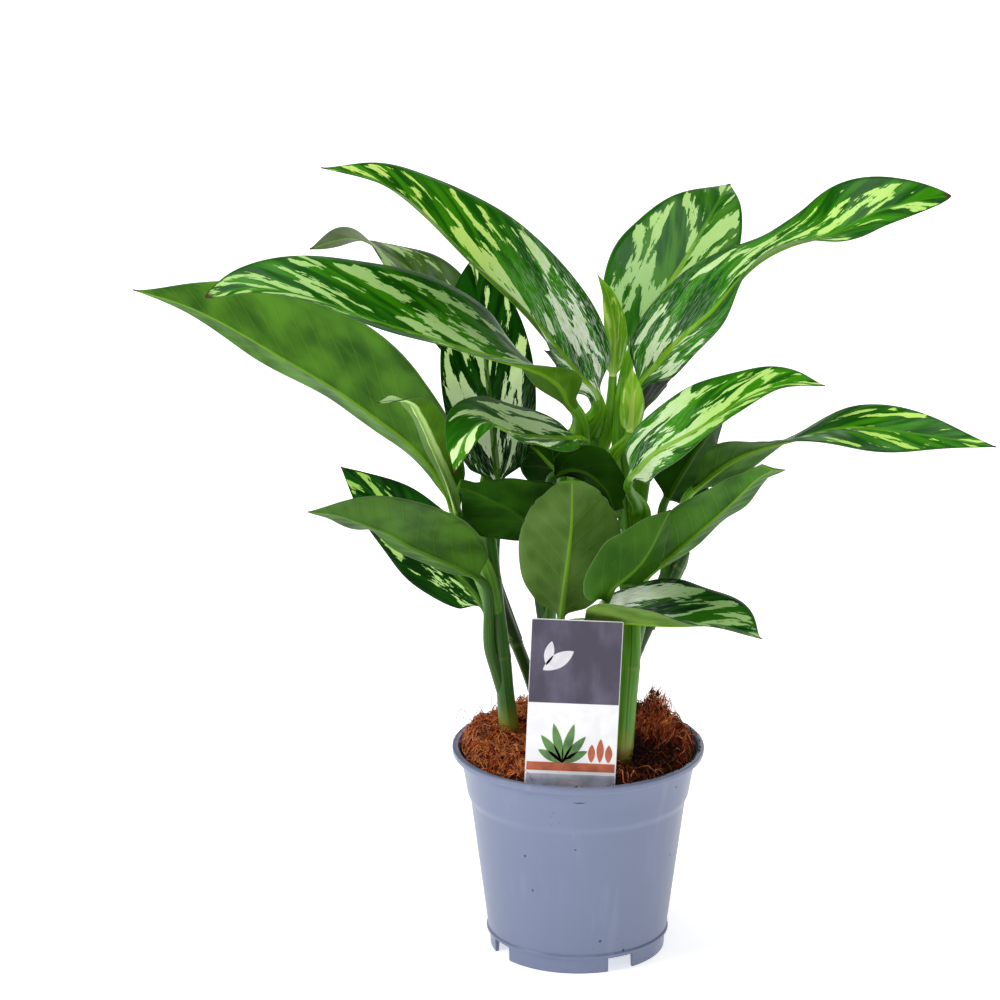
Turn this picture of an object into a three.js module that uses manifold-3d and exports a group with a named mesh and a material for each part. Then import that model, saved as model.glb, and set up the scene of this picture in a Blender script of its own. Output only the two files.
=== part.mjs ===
// A potted Chinese evergreen: a tapered nursery pot, coir soil, a plain label, five canes and their leaves.
// Millimetres, +Z up, the front of the plant faces -Y. The origin is the centre of the pot's underside.

import * as THREE from 'three';
import { mergeVertices } from 'three/addons/utils/BufferGeometryUtils.js';
import Module from 'manifold-3d';

const wasm = await Module();
wasm.setup();

// Driving dimensions of the pot: the lip, the step below it, the ridge, the foot and the underside
const POT_HEIGHT = 101;
const RIM_RADIUS = 60;
const RIM_DEPTH = 3.3;
const RIM_OVERHANG = 3;
const MOUTH_RADIUS = 57.2;
const STEP_HEIGHT = 76;
const STEP_RADIUS = 51.6;
const STEP_RISE = 11;
const STEP_SWELL = 2.7;
const RIDGE_HEIGHT = 8.6;
const RIDGE_SWELL = 1.4;
const FOOT_RADIUS = 41.8;
const SKIRT_WIDTH = 1.8;
const WALL = 1.8;
const FLOOR = 2.2;
const PAD_RADIUS = 27;
const NOTCH_COUNT = 4;
const NOTCH_WIDTH = 13.5;
const NOTCH_ROOF = 7;
const GROOVE_ROOF = 7.4;
const FIRST_NOTCH_DEGREES = -61;
const DRAIN_COUNT = 8;
const DRAIN_RADIUS = 2.5;
const DRAIN_CIRCLE = 34;
const DRAIN_SIDES = 12;
const POT_SEGMENTS = 40;

// Driving dimensions of the soil and the label
const GAP = 0.3;
const SOIL_EDGE = 98.5;
const SOIL_MOUND = { height: 9, radius: 55, fullness: 0.8 };
const SOIL_LUMPS = { height: 1.1, second: 0.6 };
const SOIL_RINGS = [54, 48, 41, 34, 27, 18, 8];
const SOIL_SEGMENTS = 36;
const TUFT = { x: 36, y: -9, height: 9, spread: 7 };
const SOCKET_FLOOR = 90;
const SOCKET_SIDES = 16;
const SOIL_LINE = 109;
const LABEL = {
  width: 42.5, top: 180, neck: 97, tip: 84, stake: 16, thickness: 0.8, x: -4.8, y: -48.3, lean: 2.4,
};

// Driving dimensions of the canes and the leaves
const CANE_SIDES = 10;
const STALK_RADIUS = 2.6;
const STALK_TAPER = 0.77;
const STALK_STEPS = 4;
const STALK_START = [{ rise: 0, clear: 0.2 }, { rise: 9, clear: 3 }];
const BLADE_THICKNESS = 0.9;
const BLADE_DROOP = 0.1;
const BLADE_STEPS = 15;
const BLADE_OPENS = 0.1;
const BLADE_FULLNESS = 1.5;
const TIP_TUCK = { share: 0.35, power: 8 };
const RIB_COLUMNS = 7;
const RIPPLE_OFFSET = 0.27;

// Each cane: its place in the soil, the points it grows through and its radius at each of them
const CANES = {
  left: {
    foot: [-33, -1],
    through: [[-35, -1, 129], [-37.5, -1, 159], [-40, 1, 183], [-42.5, 5, 208]],
    radii: [4.6, 4.3, 3.8, 3.4, 2.8],
  },
  right: {
    foot: [20, -30],
    through: [[22, -29, 134], [24, -24, 162], [24, -15, 190], [23, -11, 222], [20, -6, 250]],
    radii: [5.2, 5, 4.8, 4.6, 4.2, 3.2],
  },
  centre: {
    foot: [-16, 12],
    through: [[-15, 12, 134], [-14, 11, 170], [-6, 9, 205], [3, 7, 238], [7, 6, 251]],
    radii: [4.6, 4.4, 4.2, 3.9, 3.5, 3],
  },
  rear_left: {
    foot: [-18, 27],
    through: [[-24.5, 24, 130], [-32, 19, 152], [-37, 16, 168], [-41, 17, 183]],
    radii: [3.2, 3, 2.9, 2.8, 2.5],
  },
  rear_right: {
    foot: [23, 6],
    through: [[26, 8, 138], [33, 10, 156], [45, 14, 180], [51.5, 16, 194]],
    radii: [2.8, 2.7, 2.6, 2.6, 2.4],
  },
};

// Each leaf: the cane it leaves, at what height and on which side, the points of its stalk and of the
// midrib from the base of the blade to its tip, half the blade's width, and the way the upper face looks
const LEAVES = [
  {
    name: 'leaf_top_arch',
    cane: 'centre', height: 246, side: 150,
    stalk: [[11, 5, 259]],
    midrib: [[8, 2, 270.8], [-0.6, -3, 291.7], [-10.9, -10, 311], [-24.4, -20, 330.9], [-46.4, -34, 354.5],
      [-68.5, -45, 375.6], [-91.1, -57, 392.1], [-117.1, -68, 399.9]],
    looks: [[0.4, -0.8, 0.5], [0.5, -0.6, 0.7], [0.4, -0.5, 0.8], [0.2, -0.3, 0.9]],
    half: 25, fold: [24], peak: 0.36,
  },
  {
    name: 'leaf_left_arch',
    cane: 'centre', height: 238, side: 190,
    stalk: [[4, -6, 257]],
    midrib: [[-2.9, -12, 271.6], [-14.7, -24, 288.1], [-35.5, -38, 306.9], [-64.1, -50, 323.1],
      [-92.3, -62, 335.3], [-122.5, -73, 346.3], [-148.8, -84, 350.2], [-168.3, -94, 346.9]],
    looks: [[0.2, 0.9, 0.3], [0.1, -0.4, 0.9], [0.2, -0.5, 0.9], [0, -0.3, 1]],
    half: 23, fold: [20], peak: 0.45, fullness: 1,
  },
  {
    name: 'leaf_far_left',
    cane: 'left', height: 178, side: 180,
    stalk: [],
    midrib: [[-58.9, 2, 215.9], [-64.1, 5, 231.2], [-74.4, 9, 246.7], [-88.5, 13, 260.2],
      [-114.7, 18, 280.3], [-149.6, 27, 297.2], [-180.6, 37, 307.2], [-210.8, 46, 312.5]],
    looks: [[0.6, 0.7, 0.5], [0.55, 0.8, 0.45], [0.45, 0.85, 0.35], [0.3, 0.8, 0.5]],
    half: 33, fold: [22], peak: 0.42, fullness: 1.9,
  },
  {
    name: 'leaf_left_bent',
    cane: 'left', height: 186, side: 240,
    stalk: [],
    midrib: [[-57, -11, 220.5], [-62, -17, 238], [-68, -25, 255], [-74, -33, 272], [-80, -44, 284],
      [-93, -61, 288.5]],
    looks: [[0.25, 0.95, 0.1], [0.3, 0.9, 0.4], [0.1, 0.3, 0.9], [0.1, 0, 1]],
    half: 12.5, fold: [50, 42, 10],
  },
  {
    name: 'leaf_rear_left_curled',
    cane: 'rear_left', height: 172, side: 160,
    stalk: [[-44, 38, 225]],
    midrib: [[-45.9, 50, 267], [-63.1, 64.9, 298.5], [-85.1, 74.6, 318.1], [-107.2, 82.8, 328.3],
      [-128.5, 86, 322]],
    looks: [[0.2, -0.6, 0.8], [0.2, -0.6, 0.8], [0.3, 0, 0.9], [0.2, 0.9, 0.2]],
    half: 18.5, fold: [15], steps: 10,
  },
  {
    name: 'leaf_rear_upright',
    cane: 'rear_left', height: 170, side: 100,
    stalk: [],
    midrib: [[-38.2, 27, 221.8], [-42, 35.9, 260.3], [-45.8, 46.7, 295.6], [-50.1, 58, 324]],
    looks: [[0, -0.9, 0.5], [0, -0.9, 0.5], [0, -0.8, 0.6]],
    half: 23, fold: [14], peak: 0.46, fullness: 1.1,
  },
  {
    name: 'leaf_right_upright',
    cane: 'right', height: 242, side: 80,
    stalk: [[25, 10, 279]],
    midrib: [[24.6, 18, 290], [35.6, 33.6, 313], [50.3, 55.8, 331.9], [64.3, 77.4, 345.9], [73.1, 96, 351.6]],
    looks: [[-0.2, -0.9, 0.5], [-0.2, -0.8, 0.6], [-0.1, -0.7, 0.7]],
    half: 29, fold: [12],
  },
  {
    name: 'leaf_right_arch',
    cane: 'right', height: 236, side: 20,
    stalk: [[27, -6, 266]],
    midrib: [[26.5, -4, 277.9], [40.7, -2.5, 301.2], [58.2, -1, 319.5], [76.1, 1, 336.3], [94.6, 4, 346.5],
      [113.3, 8, 352.6], [132.4, 13, 360.9], [152.2, 18, 363.9], [172.7, 24, 363.8]],
    looks: [[0, -0.6, 0.8], [-0.1, -0.45, 0.9], [-0.3, 0.1, 1], [-0.1, -0.5, 0.9], [0, -0.8, 0.7]],
    half: 24.5, fold: [15], peak: 0.44, fullness: 1.15,
  },
  {
    name: 'leaf_right_middle',
    cane: 'right', height: 218, side: 330,
    stalk: [],
    midrib: [[22.9, -30, 242.2], [33, -40.2, 260.3], [50.4, -50.3, 275.3], [72.1, -61.5, 291.9],
      [91.3, -71.4, 301], [108.7, -82, 302.7]],
    looks: [[0, -0.7, 0.7], [0, -0.5, 0.9], [0, -0.2, 1]],
    half: 20, fold: [15],
  },
  {
    name: 'leaf_far_right_twisted',
    cane: 'rear_right', height: 184, side: 80,
    stalk: [],
    midrib: [[54, 18, 222.2], [75.6, 10.3, 241.4], [100.2, -1.1, 253.2], [124.9, -13.4, 262.3],
      [156.8, -26.4, 262.8], [190.7, -40, 261.2]],
    looks: [[0.1, 1, 0.2], [0, 0.2, 0.95], [0, -0.5, 0.85], [0, -0.4, 0.9]],
    half: 19, fold: [12],
  },
  {
    name: 'leaf_rear_right_short',
    cane: 'rear_right', height: 180, side: 150,
    stalk: [[44, 30, 208]],
    midrib: [[41.8, 34, 212.2], [54.1, 48.2, 228.7], [64.7, 65.3, 238], [72.1, 84, 243.5]],
    looks: [[-0.3, 1, 0.1], [-0.3, 1, 0.2]],
    half: 21, fold: [12], fullness: 1.1, steps: 10,
  },
  {
    name: 'leaf_right_lower',
    cane: 'right', height: 172, side: 30,
    stalk: [],
    midrib: [[31.2, -13, 189.2], [48.6, -30.3, 215], [63.5, -46.6, 234.8], [78, -62.9, 252.5],
      [86.9, -74, 261.1]],
    looks: [[-0.5, 0.8, 0.35], [-0.4, 0.8, 0.4], [-0.2, 0.8, 0.5]],
    half: 18.5, fold: [15], tip: 7,
  },
  {
    name: 'leaf_right_narrow',
    cane: 'right', height: 194, side: 240,
    stalk: [[20, -36, 199]],
    midrib: [[12, -48, 190], [14, -55, 200], [27, -57, 216], [41, -53, 235]],
    looks: [[-0.5, 0.9, 0.1], [-0.5, 0.9, 0.1]],
    half: 17, fold: [15], steps: 10,
  },
  {
    name: 'leaf_front_round',
    cane: 'centre', height: 136, side: 280,
    stalk: [],
    midrib: [[-8.6, -17, 171.2], [-6.6, -31, 195.2], [-4.5, -41, 219.9], [-4.1, -43.5, 233.8],
      [-4.2, -43, 246.2]],
    looks: [[0, 1, -0.3], [0, 1, -0.1], [0, 1, 0.1]],
    half: 24, fold: [8], peak: 0.6, fullness: 0.9,
  },
  {
    name: 'leaf_front_left_dark',
    cane: 'centre', height: 176, side: 200,
    stalk: [],
    midrib: [[-16, -2, 205], [-28, -14, 220], [-40.5, -26, 231], [-51, -33, 238], [-57, -33, 240]],
    looks: [[0.2, 1, 0.1], [0.2, 1, 0.2], [0.1, 0.8, 0.6]],
    half: 24, fold: [10], tip: 6,
  },
  {
    name: 'leaf_centre_dark',
    cane: 'centre', height: 200, side: 300,
    stalk: [],
    midrib: [[-11, -8, 238], [-4, -13, 242], [4, -19, 241.5], [12, -25, 235.5], [16, -27, 226]],
    looks: [[-0.2, 0.9, 0.3], [-0.1, 0.9, 0.3], [0.2, 0.8, 0.4]],
    half: 15, fold: [15], peak: 0.5, tip: 5, steps: 10,
  },
  {
    name: 'leaf_centre_strip',
    cane: 'centre', height: 196, side: 130,
    stalk: [],
    midrib: [[-1.8, 20, 222.1], [-11.2, 25.8, 230.2], [-20.7, 32.4, 238.1], [-31.1, 39, 244]],
    looks: [[0.4, 0.9, 0], [0.4, 0.9, 0]],
    half: 18, fold: [15], fullness: 1, steps: 10,
  },
  {
    name: 'leaf_left_nodding',
    cane: 'centre', height: 228, side: 220,
    stalk: [],
    midrib: [[0, -11, 256], [-15, -25, 263], [-32, -41, 271], [-46, -56, 279.5], [-53.5, -69, 276],
      [-58, -79, 261]],
    looks: [[0, -0.5, 0.9], [0, -0.5, 0.9], [-0.1, -0.5, 0.9], [-0.4, -0.8, 0.4]],
    half: 18.5, fold: [14],
  },
  {
    name: 'leaf_low_left',
    cane: 'left', height: 146, side: 215,
    stalk: [],
    midrib: [[-47.1, -10, 187.2], [-59.2, -20.2, 201.4], [-71.6, -32.3, 213.7], [-84.7, -45.5, 225.8],
      [-106.3, -61.4, 236.2], [-124.5, -76, 241.3]],
    looks: [[0.2, 0.9, 0.3], [0.25, 0.8, 0.45], [0.3, 0.85, 0.4]],
    half: 23, fold: [15],
  },
  {
    name: 'leaf_low_left_rear',
    cane: 'left', height: 152, side: 140,
    stalk: [],
    midrib: [[-44.9, 9, 167.3], [-61.1, 22.2, 182.4], [-85.1, 38.1, 201.8], [-113.4, 49, 224]],
    looks: [[-0.4, -0.9, 0.1], [-0.4, -0.9, 0.1]],
    half: 20, fold: [10],
  },
  {
    name: 'leaf_low_right',
    cane: 'centre', height: 126, side: 320,
    stalk: [],
    midrib: [[0, -36, 174.8], [18.9, -43.2, 177.7], [40.9, -51.1, 178.5], [64.4, -63.5, 182.3],
      [82.3, -82, 182.4]],
    looks: [[0, 0.1, 1], [0, 0, 1], [0.3, -0.3, 0.9]],
    half: 30, fold: [46, 34, 15], fullness: 1.9,
  },
  {
    name: 'leaf_rear_right_dark',
    cane: 'right', height: 226, side: 70,
    stalk: [[25, 12, 249]],
    midrib: [[25.9, 22, 254.6], [30.6, 37.3, 256.9], [36.8, 55, 256.6], [41.2, 72, 255.6]],
    looks: [[-0.3, 0.9, 0.2], [-0.3, 0.8, 0.5]],
    half: 17, fold: [15], tip: 4, steps: 10,
  },
  {
    name: 'leaf_rear_centre_dark',
    cane: 'centre', height: 236, side: 60,
    stalk: [[0, 18, 257]],
    midrib: [[-3, 26, 264], [-6.9, 42.2, 269.2], [-9.8, 61.3, 270.6], [-11.7, 80, 269.6]],
    looks: [[0.3, 0.9, 0.2], [0.3, 0.8, 0.5]],
    half: 13, fold: [15], tip: 4, steps: 10,
  },
  {
    name: 'leaf_new_shoot',
    cane: 'right', height: 244, side: 200,
    stalk: [],
    midrib: [[23, -12, 260], [24, -13, 273], [24, -12, 291]],
    looks: [[0, -0.9, 0.4], [0, -0.9, 0.4]],
    half: 7, fold: [35], peak: 0.4, wave: 0, stalkRadius: 1.8, steps: 10,
  },
  {
    name: 'leaf_rolled_spear',
    cane: 'centre', height: 244, side: 30,
    stalk: [],
    midrib: [[15.5, 11, 280], [16.5, 12.5, 300], [13.5, 12.5, 317], [8, 10, 330]],
    looks: [[0, -0.9, 0.4], [0, -0.9, 0.4]],
    half: 9, fold: [60], peak: 0.4, wave: 0, stalkRadius: 2, steps: 10,
  },
];

const paint = (color, roughness) => new THREE.MeshStandardMaterial({ color, roughness, metalness: 0 });
const FINISHES = {
  pot: paint(0x8a94b4, 0.45),
  soil: paint(0x6e3a20, 0.95),
  label: paint(0xe9e6ea, 0.5),
  cane: paint(0x5f8f24, 0.45),
  leaf: paint(0x3b7a1e, 0.35),
  shoot: paint(0x9bc93f, 0.4),
};

const vector = ([x, y, z]) => new THREE.Vector3(x, y, z);
const radians = THREE.MathUtils.degToRad;

// A closed geometry as a solid that can be joined and cut
function solidOf(geometry) {
  const bare = geometry.clone();
  bare.deleteAttribute('normal');
  bare.deleteAttribute('uv');
  const merged = mergeVertices(bare, 1e-3);
  const mesh = new wasm.Mesh({
    numProp: 3,
    vertProperties: merged.attributes.position.array,
    triVerts: new Uint32Array(merged.index.array),
  });
  return new wasm.Manifold(mesh);
}

// A solid back as a geometry
function geometryOf(solid) {
  const { vertProperties, triVerts } = solid.getMesh();
  const geometry = new THREE.BufferGeometry();
  geometry.setAttribute('position', new THREE.BufferAttribute(vertProperties, 3));
  geometry.setIndex(new THREE.BufferAttribute(triVerts, 1));
  geometry.computeVertexNormals();
  return geometry;
}

// The closed skin over a row of rings, each with the same number of points, with a fan at both ends. The
// diagonals turn over halfway round each ring, so that both faces of a flat section fold alike.
function skinOf(rings) {
  const sides = rings[0].length;
  const centreOf = (ring) => {
    const sum = ring.reduce((total, point) => total.add(point), new THREE.Vector3());
    return sum.divideScalar(sides);
  };
  const points = [...rings.flat(), centreOf(rings[0]), centreOf(rings.at(-1))];
  const index = [];
  for (let row = 0; row < rings.length - 1; row += 1) {
    for (let column = 0; column < sides; column += 1) {
      const next = (column + 1) % sides;
      const [a, b] = [row * sides + column, row * sides + next];
      const [c, d] = [b + sides, a + sides];
      if (column < sides / 2) index.push(a, b, c, a, c, d);
      else index.push(b, c, d, b, d, a);
    }
  }
  const [start, end] = [rings.length * sides, rings.length * sides + 1];
  const lastRow = (rings.length - 1) * sides;
  for (let column = 0; column < sides; column += 1) {
    const next = (column + 1) % sides;
    index.push(start, next, column, end, lastRow + column, lastRow + next);
  }
  const geometry = new THREE.BufferGeometry().setFromPoints(points);
  geometry.setIndex(index);
  geometry.computeVertexNormals();
  return geometry;
}

// A round ring about a point, square to the direction it travels in
function roundRing(centre, along, up, radius, sides) {
  const across = new THREE.Vector3().crossVectors(up, along).normalize();
  const rise = new THREE.Vector3().crossVectors(along, across).normalize();
  return Array.from({ length: sides }, (_, k) => {
    const angle = ((k + 0.5) / sides) * 2 * Math.PI;
    return centre.clone()
      .addScaledVector(across, radius * Math.cos(angle))
      .addScaledVector(rise, radius * Math.sin(angle));
  });
}

// A smooth curve through points, read at t points along its row of points
class Growth {
  constructor(points) {
    this.last = points.length - 1;
    this.curve = new THREE.CatmullRomCurve3(points, false, 'catmullrom', 0.5);
  }

  at(t) {
    return this.curve.getPoint(THREE.MathUtils.clamp(t / this.last, 0, 1));
  }

  direction(t) {
    const step = 1e-3;
    return this.at(t + step).sub(this.at(t - step)).normalize();
  }

  // The values of t at even distances from one t to the last, a list of shares of that distance
  spaced(from, shares) {
    const count = 240;
    const steps = Array.from({ length: count + 1 }, (_, k) => from + ((this.last - from) * k) / count);
    const reach = [0];
    for (let k = 1; k <= count; k += 1) {
      reach.push(reach[k - 1] + this.at(steps[k]).distanceTo(this.at(steps[k - 1])));
    }
    return shares.map((share) => {
      const wanted = share * reach[count];
      const k = Math.max(1, reach.findIndex((distance) => distance >= wanted - 1e-9));
      const part = (wanted - reach[k - 1]) / (reach[k] - reach[k - 1]);
      return steps[k - 1] + part * (steps[k] - steps[k - 1]);
    });
  }
}

// Values spread evenly over 0 to 1, read smoothly at a share of the way
function blend(values, share) {
  const row = values.map((value) => vector(Array.isArray(value) ? value : [value, 0, 0]));
  if (row.length === 1) return row[0];
  if (row.length === 2) return row[0].lerp(row[1], share);
  return new Growth(row).at(share * (row.length - 1));
}

// A cane: upright in its socket, then through its points
function caneOf({ foot, through, radii }) {
  const [x, y] = foot;
  const growth = new Growth([[x, y, SOIL_LINE], ...through].map(vector));
  const up = new THREE.Vector3(0, 1, 0);
  const upright = new THREE.Vector3(0, 0, 1);
  const count = 2 * through.length;
  const socketEnd = vector([x, y, SOCKET_FLOOR + GAP]);
  const rings = [roundRing(socketEnd, upright, up, radii[0], CANE_SIDES)];
  for (let k = 0; k <= count; k += 1) {
    const t = (k / count) * growth.last;
    const radius = blend(radii, k / count).x;
    rings.push(roundRing(growth.at(t), k === 0 ? upright : growth.direction(t), up, radius, CANE_SIDES));
  }
  return skinOf(rings);
}

// The middle and the radius of a cane at a height
function caneAt({ foot, through, radii }, height) {
  const growth = new Growth([[...foot, SOIL_LINE], ...through].map(vector));
  let [low, high] = [0, growth.last];
  for (let k = 0; k < 40; k += 1) {
    const middle = (low + high) / 2;
    if (growth.at(middle).z < height) low = middle;
    else high = middle;
  }
  return { middle: growth.at(low), radius: blend(radii, low / growth.last).x };
}

// How wide the blade is at a share of its length: widest at the peak and drawn out to the tip
function outline(share, peak, fullness) {
  const [rise, fall] = [fullness * peak, fullness * (1 - peak)];
  const tuck = 1 - TIP_TUCK.share * share ** TIP_TUCK.power;
  return (share / peak) ** rise * ((1 - share) / (1 - peak)) ** fall * tuck;
}

// A leaf: a round stalk that starts beside its cane and opens into a folded, waved blade
function leafOf(leaf) {
  const { midrib, stalk, half, fold, looks } = leaf;
  const { peak = 0.42, tip = 0.5, wave = 1, waves = 2.5, stalkRadius = STALK_RADIUS } = leaf;
  const { steps = BLADE_STEPS, fullness = BLADE_FULLNESS } = leaf;
  const cane = CANES[leaf.cane];
  const outward = new THREE.Vector3(Math.cos(radians(leaf.side)), Math.sin(radians(leaf.side)), 0);
  const start = STALK_START.map(({ rise, clear }) => {
    const height = leaf.height + rise;
    const { middle, radius } = caneAt(cane, height);
    return middle.setZ(height).addScaledVector(outward, radius + stalkRadius + GAP + clear);
  });
  const growth = new Growth([...start, ...[...stalk, ...midrib].map(vector)]);
  const base = start.length + stalk.length;
  const neck = STALK_TAPER * stalkRadius;
  const faceAt = (t, share) => {
    const along = growth.direction(t);
    const face = blend(looks, share);
    face.addScaledVector(along, -face.dot(along)).normalize();
    return { along, face, left: new THREE.Vector3().crossVectors(face, along) };
  };
  const sides = 2 * RIB_COLUMNS;
  const rings = [];
  for (let k = 0; k <= STALK_STEPS; k += 1) {
    const t = (k / STALK_STEPS) * base;
    const { along, face } = faceAt(t, 0);
    const radius = THREE.MathUtils.lerp(stalkRadius, neck, k / STALK_STEPS);
    rings.push(roundRing(growth.at(t), along, face, radius, sides));
  }
  const shares = Array.from({ length: steps }, (_, k) => (k + 1) / steps);
  const stations = growth.spaced(base, shares);
  shares.forEach((share, row) => {
    const t = stations[row];
    const centre = growth.at(t);
    const { along, face, left } = faceAt(t, share);
    const opened = Math.min(1, share / BLADE_OPENS);
    const width = Math.max(tip, half * outline(share, peak, fullness));
    const angle = radians(blend(fold, share).x);
    const rib = neck * (1 - share) * (1 - 0.3 * share);
    const round = roundRing(centre, along, face, neck * (1 - 0.5 * share), sides);
    rings.push(round.map((point, k) => {
      const upper = k < RIB_COLUMNS;
      const column = upper ? k : sides - 1 - k;
      const across = 1 - (2 * column) / (RIB_COLUMNS - 1);
      const reach = Math.abs(across);
      const phase = waves * share + (across > 0 ? RIPPLE_OFFSET : 0);
      const ripple = wave * reach ** 2 * Math.sin(2 * Math.PI * phase);
      const height = width * (Math.sin(angle) * reach - BLADE_DROOP * reach ** 2)
        + ripple * Math.sin(Math.PI * share);
      const below = BLADE_THICKNESS / 2 + (column === (RIB_COLUMNS - 1) / 2 ? rib : 0);
      const flat = centre.clone()
        .addScaledVector(left, width * across * Math.cos(angle))
        .addScaledVector(face, height + (upper ? BLADE_THICKNESS / 2 : -below));
      return point.lerp(flat, opened);
    }));
  });
  return skinOf(rings);
}

// A turned solid about the pot's axis, its profile closed on the axis
function turned(profile, segments) {
  const points = profile.map(([radius, height]) => new THREE.Vector2(radius, height));
  return new THREE.LatheGeometry(points, segments).rotateX(Math.PI / 2);
}

// The pot: a pad in the middle to stand on, a skirt round it, a ridge, a plain wall, a step and a lip
function potOf() {
  const lipUnder = POT_HEIGHT - RIM_DEPTH;
  const neck = RIM_RADIUS - RIM_OVERHANG;
  const outside = [
    [0, 0], [PAD_RADIUS, 0], [PAD_RADIUS + 1, GROOVE_ROOF],
    [FOOT_RADIUS - SKIRT_WIDTH - 0.4, GROOVE_ROOF], [FOOT_RADIUS - SKIRT_WIDTH, 0], [FOOT_RADIUS, 0],
    [FOOT_RADIUS + 0.3, RIDGE_HEIGHT - 0.6], [FOOT_RADIUS + RIDGE_SWELL, RIDGE_HEIGHT],
    [FOOT_RADIUS + RIDGE_SWELL - 0.2, RIDGE_HEIGHT + 1.2], [STEP_RADIUS, STEP_HEIGHT],
    [STEP_RADIUS + 1.2, STEP_HEIGHT + 3], [STEP_RADIUS + STEP_SWELL, STEP_HEIGHT + STEP_RISE],
    [neck - 0.8, lipUnder - 0.4], [neck, lipUnder], [RIM_RADIUS, lipUnder],
    [RIM_RADIUS + 0.2, POT_HEIGHT - 1], [RIM_RADIUS - 0.5, POT_HEIGHT],
  ];
  const inside = [
    [MOUTH_RADIUS, POT_HEIGHT], [MOUTH_RADIUS - 1, lipUnder],
    [STEP_RADIUS + STEP_SWELL - WALL, STEP_HEIGHT + STEP_RISE], [STEP_RADIUS - WALL, STEP_HEIGHT],
    [FOOT_RADIUS + 1.2 - WALL, RIDGE_HEIGHT + 2.4], [PAD_RADIUS + 2, GROOVE_ROOF + WALL],
    [PAD_RADIUS - 1, FLOOR], [0, FLOOR],
  ];
  const notchDepth = 12;
  const drainLength = 8;
  let pot = solidOf(turned([...outside, ...inside], POT_SEGMENTS));
  for (let k = 0; k < NOTCH_COUNT; k += 1) {
    const notch = new THREE.BoxGeometry(notchDepth, NOTCH_WIDTH, NOTCH_ROOF + 1);
    notch.translate(FOOT_RADIUS - 1, 0, (NOTCH_ROOF - 1) / 2);
    notch.rotateZ(radians(FIRST_NOTCH_DEGREES + (360 / NOTCH_COUNT) * k));
    pot = pot.subtract(solidOf(notch));
  }
  for (let k = 0; k < DRAIN_COUNT; k += 1) {
    const drain = new THREE.CylinderGeometry(DRAIN_RADIUS, DRAIN_RADIUS, drainLength, DRAIN_SIDES);
    drain.rotateX(Math.PI / 2).translate(DRAIN_CIRCLE, 0, GROOVE_ROOF + WALL / 2);
    pot = pot.subtract(solidOf(drain.rotateZ(radians((360 / DRAIN_COUNT) * k))));
  }
  return geometryOf(pot);
}

// The label's outline: a plain oblong with a narrow stake below
function labelShape(margin) {
  const { width, top, neck, tip, stake } = LABEL;
  const shoulder = neck - 4;
  const [side, foot] = [width / 2 + margin, stake / 2 + margin];
  const shape = new THREE.Shape();
  shape.moveTo(-foot, tip - margin);
  shape.lineTo(foot, tip - margin);
  shape.lineTo(foot, shoulder);
  shape.lineTo(side, neck);
  shape.lineTo(side, top);
  shape.lineTo(-side, top);
  shape.lineTo(-side, neck);
  shape.lineTo(-foot, shoulder);
  return shape;
}

// The label stands against the front wall, leaning a little to the right
function labelOf(margin) {
  const depth = LABEL.thickness + 2 * margin;
  const plate = new THREE.ExtrudeGeometry(labelShape(margin), { depth, bevelEnabled: false });
  plate.translate(0, -LABEL.neck, -depth / 2).rotateX(Math.PI / 2).rotateY(radians(LABEL.lean));
  return plate.translate(LABEL.x, LABEL.y, LABEL.neck);
}

// How high the coir stands at a place: a low mound, uneven, with a tuft at the right
function coirHeight(x, y) {
  const mound = Math.max(0, 1 - (x ** 2 + y ** 2) / SOIL_MOUND.radius ** 2) ** SOIL_MOUND.fullness;
  const broad = Math.sin(0.21 * x + 1) * Math.cos(0.17 * y);
  const narrow = Math.sin(0.37 * y - 0.2 * x);
  const lumps = SOIL_LUMPS.height * (broad + SOIL_LUMPS.second * narrow);
  const tuft = TUFT.height * Math.exp(-((x - TUFT.x) ** 2 + (y - TUFT.y) ** 2) / TUFT.spread ** 2);
  return SOIL_EDGE + mound * (SOIL_MOUND.height + lumps) + tuft;
}

// The soil fills the pot and has a plain hole for each cane and a slot for the label
function soilOf() {
  const floor = FLOOR + 0.4;
  const under = [
    [PAD_RADIUS - 7, floor], [PAD_RADIUS - 1.6, floor], [PAD_RADIUS + 1.6, GROOVE_ROOF + WALL + 0.8],
    [FOOT_RADIUS + 0.8 - WALL, RIDGE_HEIGHT + 3], [STEP_RADIUS - 0.4 - WALL, STEP_HEIGHT],
    [STEP_RADIUS + STEP_SWELL - 0.4 - WALL, STEP_HEIGHT + STEP_RISE], [MOUTH_RADIUS - 2, SOIL_EDGE - 1.5],
  ];
  const ringOf = (radius, height) => Array.from({ length: SOIL_SEGMENTS }, (_, k) => {
    const angle = (k / SOIL_SEGMENTS) * 2 * Math.PI;
    const [x, y] = [radius * Math.cos(angle), radius * Math.sin(angle)];
    return new THREE.Vector3(x, y, height ?? coirHeight(x, y));
  });
  const rings = under.map(([radius, height]) => ringOf(radius, height));
  for (const radius of SOIL_RINGS) rings.push(ringOf(radius));
  let soil = solidOf(skinOf(rings));
  for (const { foot, radii } of Object.values(CANES)) {
    const depth = 40;
    const radius = radii[0] + GAP;
    const socket = new THREE.CylinderGeometry(radius, radius, depth, SOCKET_SIDES).rotateX(Math.PI / 2);
    soil = soil.subtract(solidOf(socket.translate(...foot, SOCKET_FLOOR + depth / 2)));
  }
  return geometryOf(soil.subtract(solidOf(labelOf(GAP))));
}

const plant = new THREE.Group();

// Puts one named solid into the plant
function add(name, geometry, finish) {
  const mesh = new THREE.Mesh(geometry, finish);
  mesh.name = name;
  plant.add(mesh);
}

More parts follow.
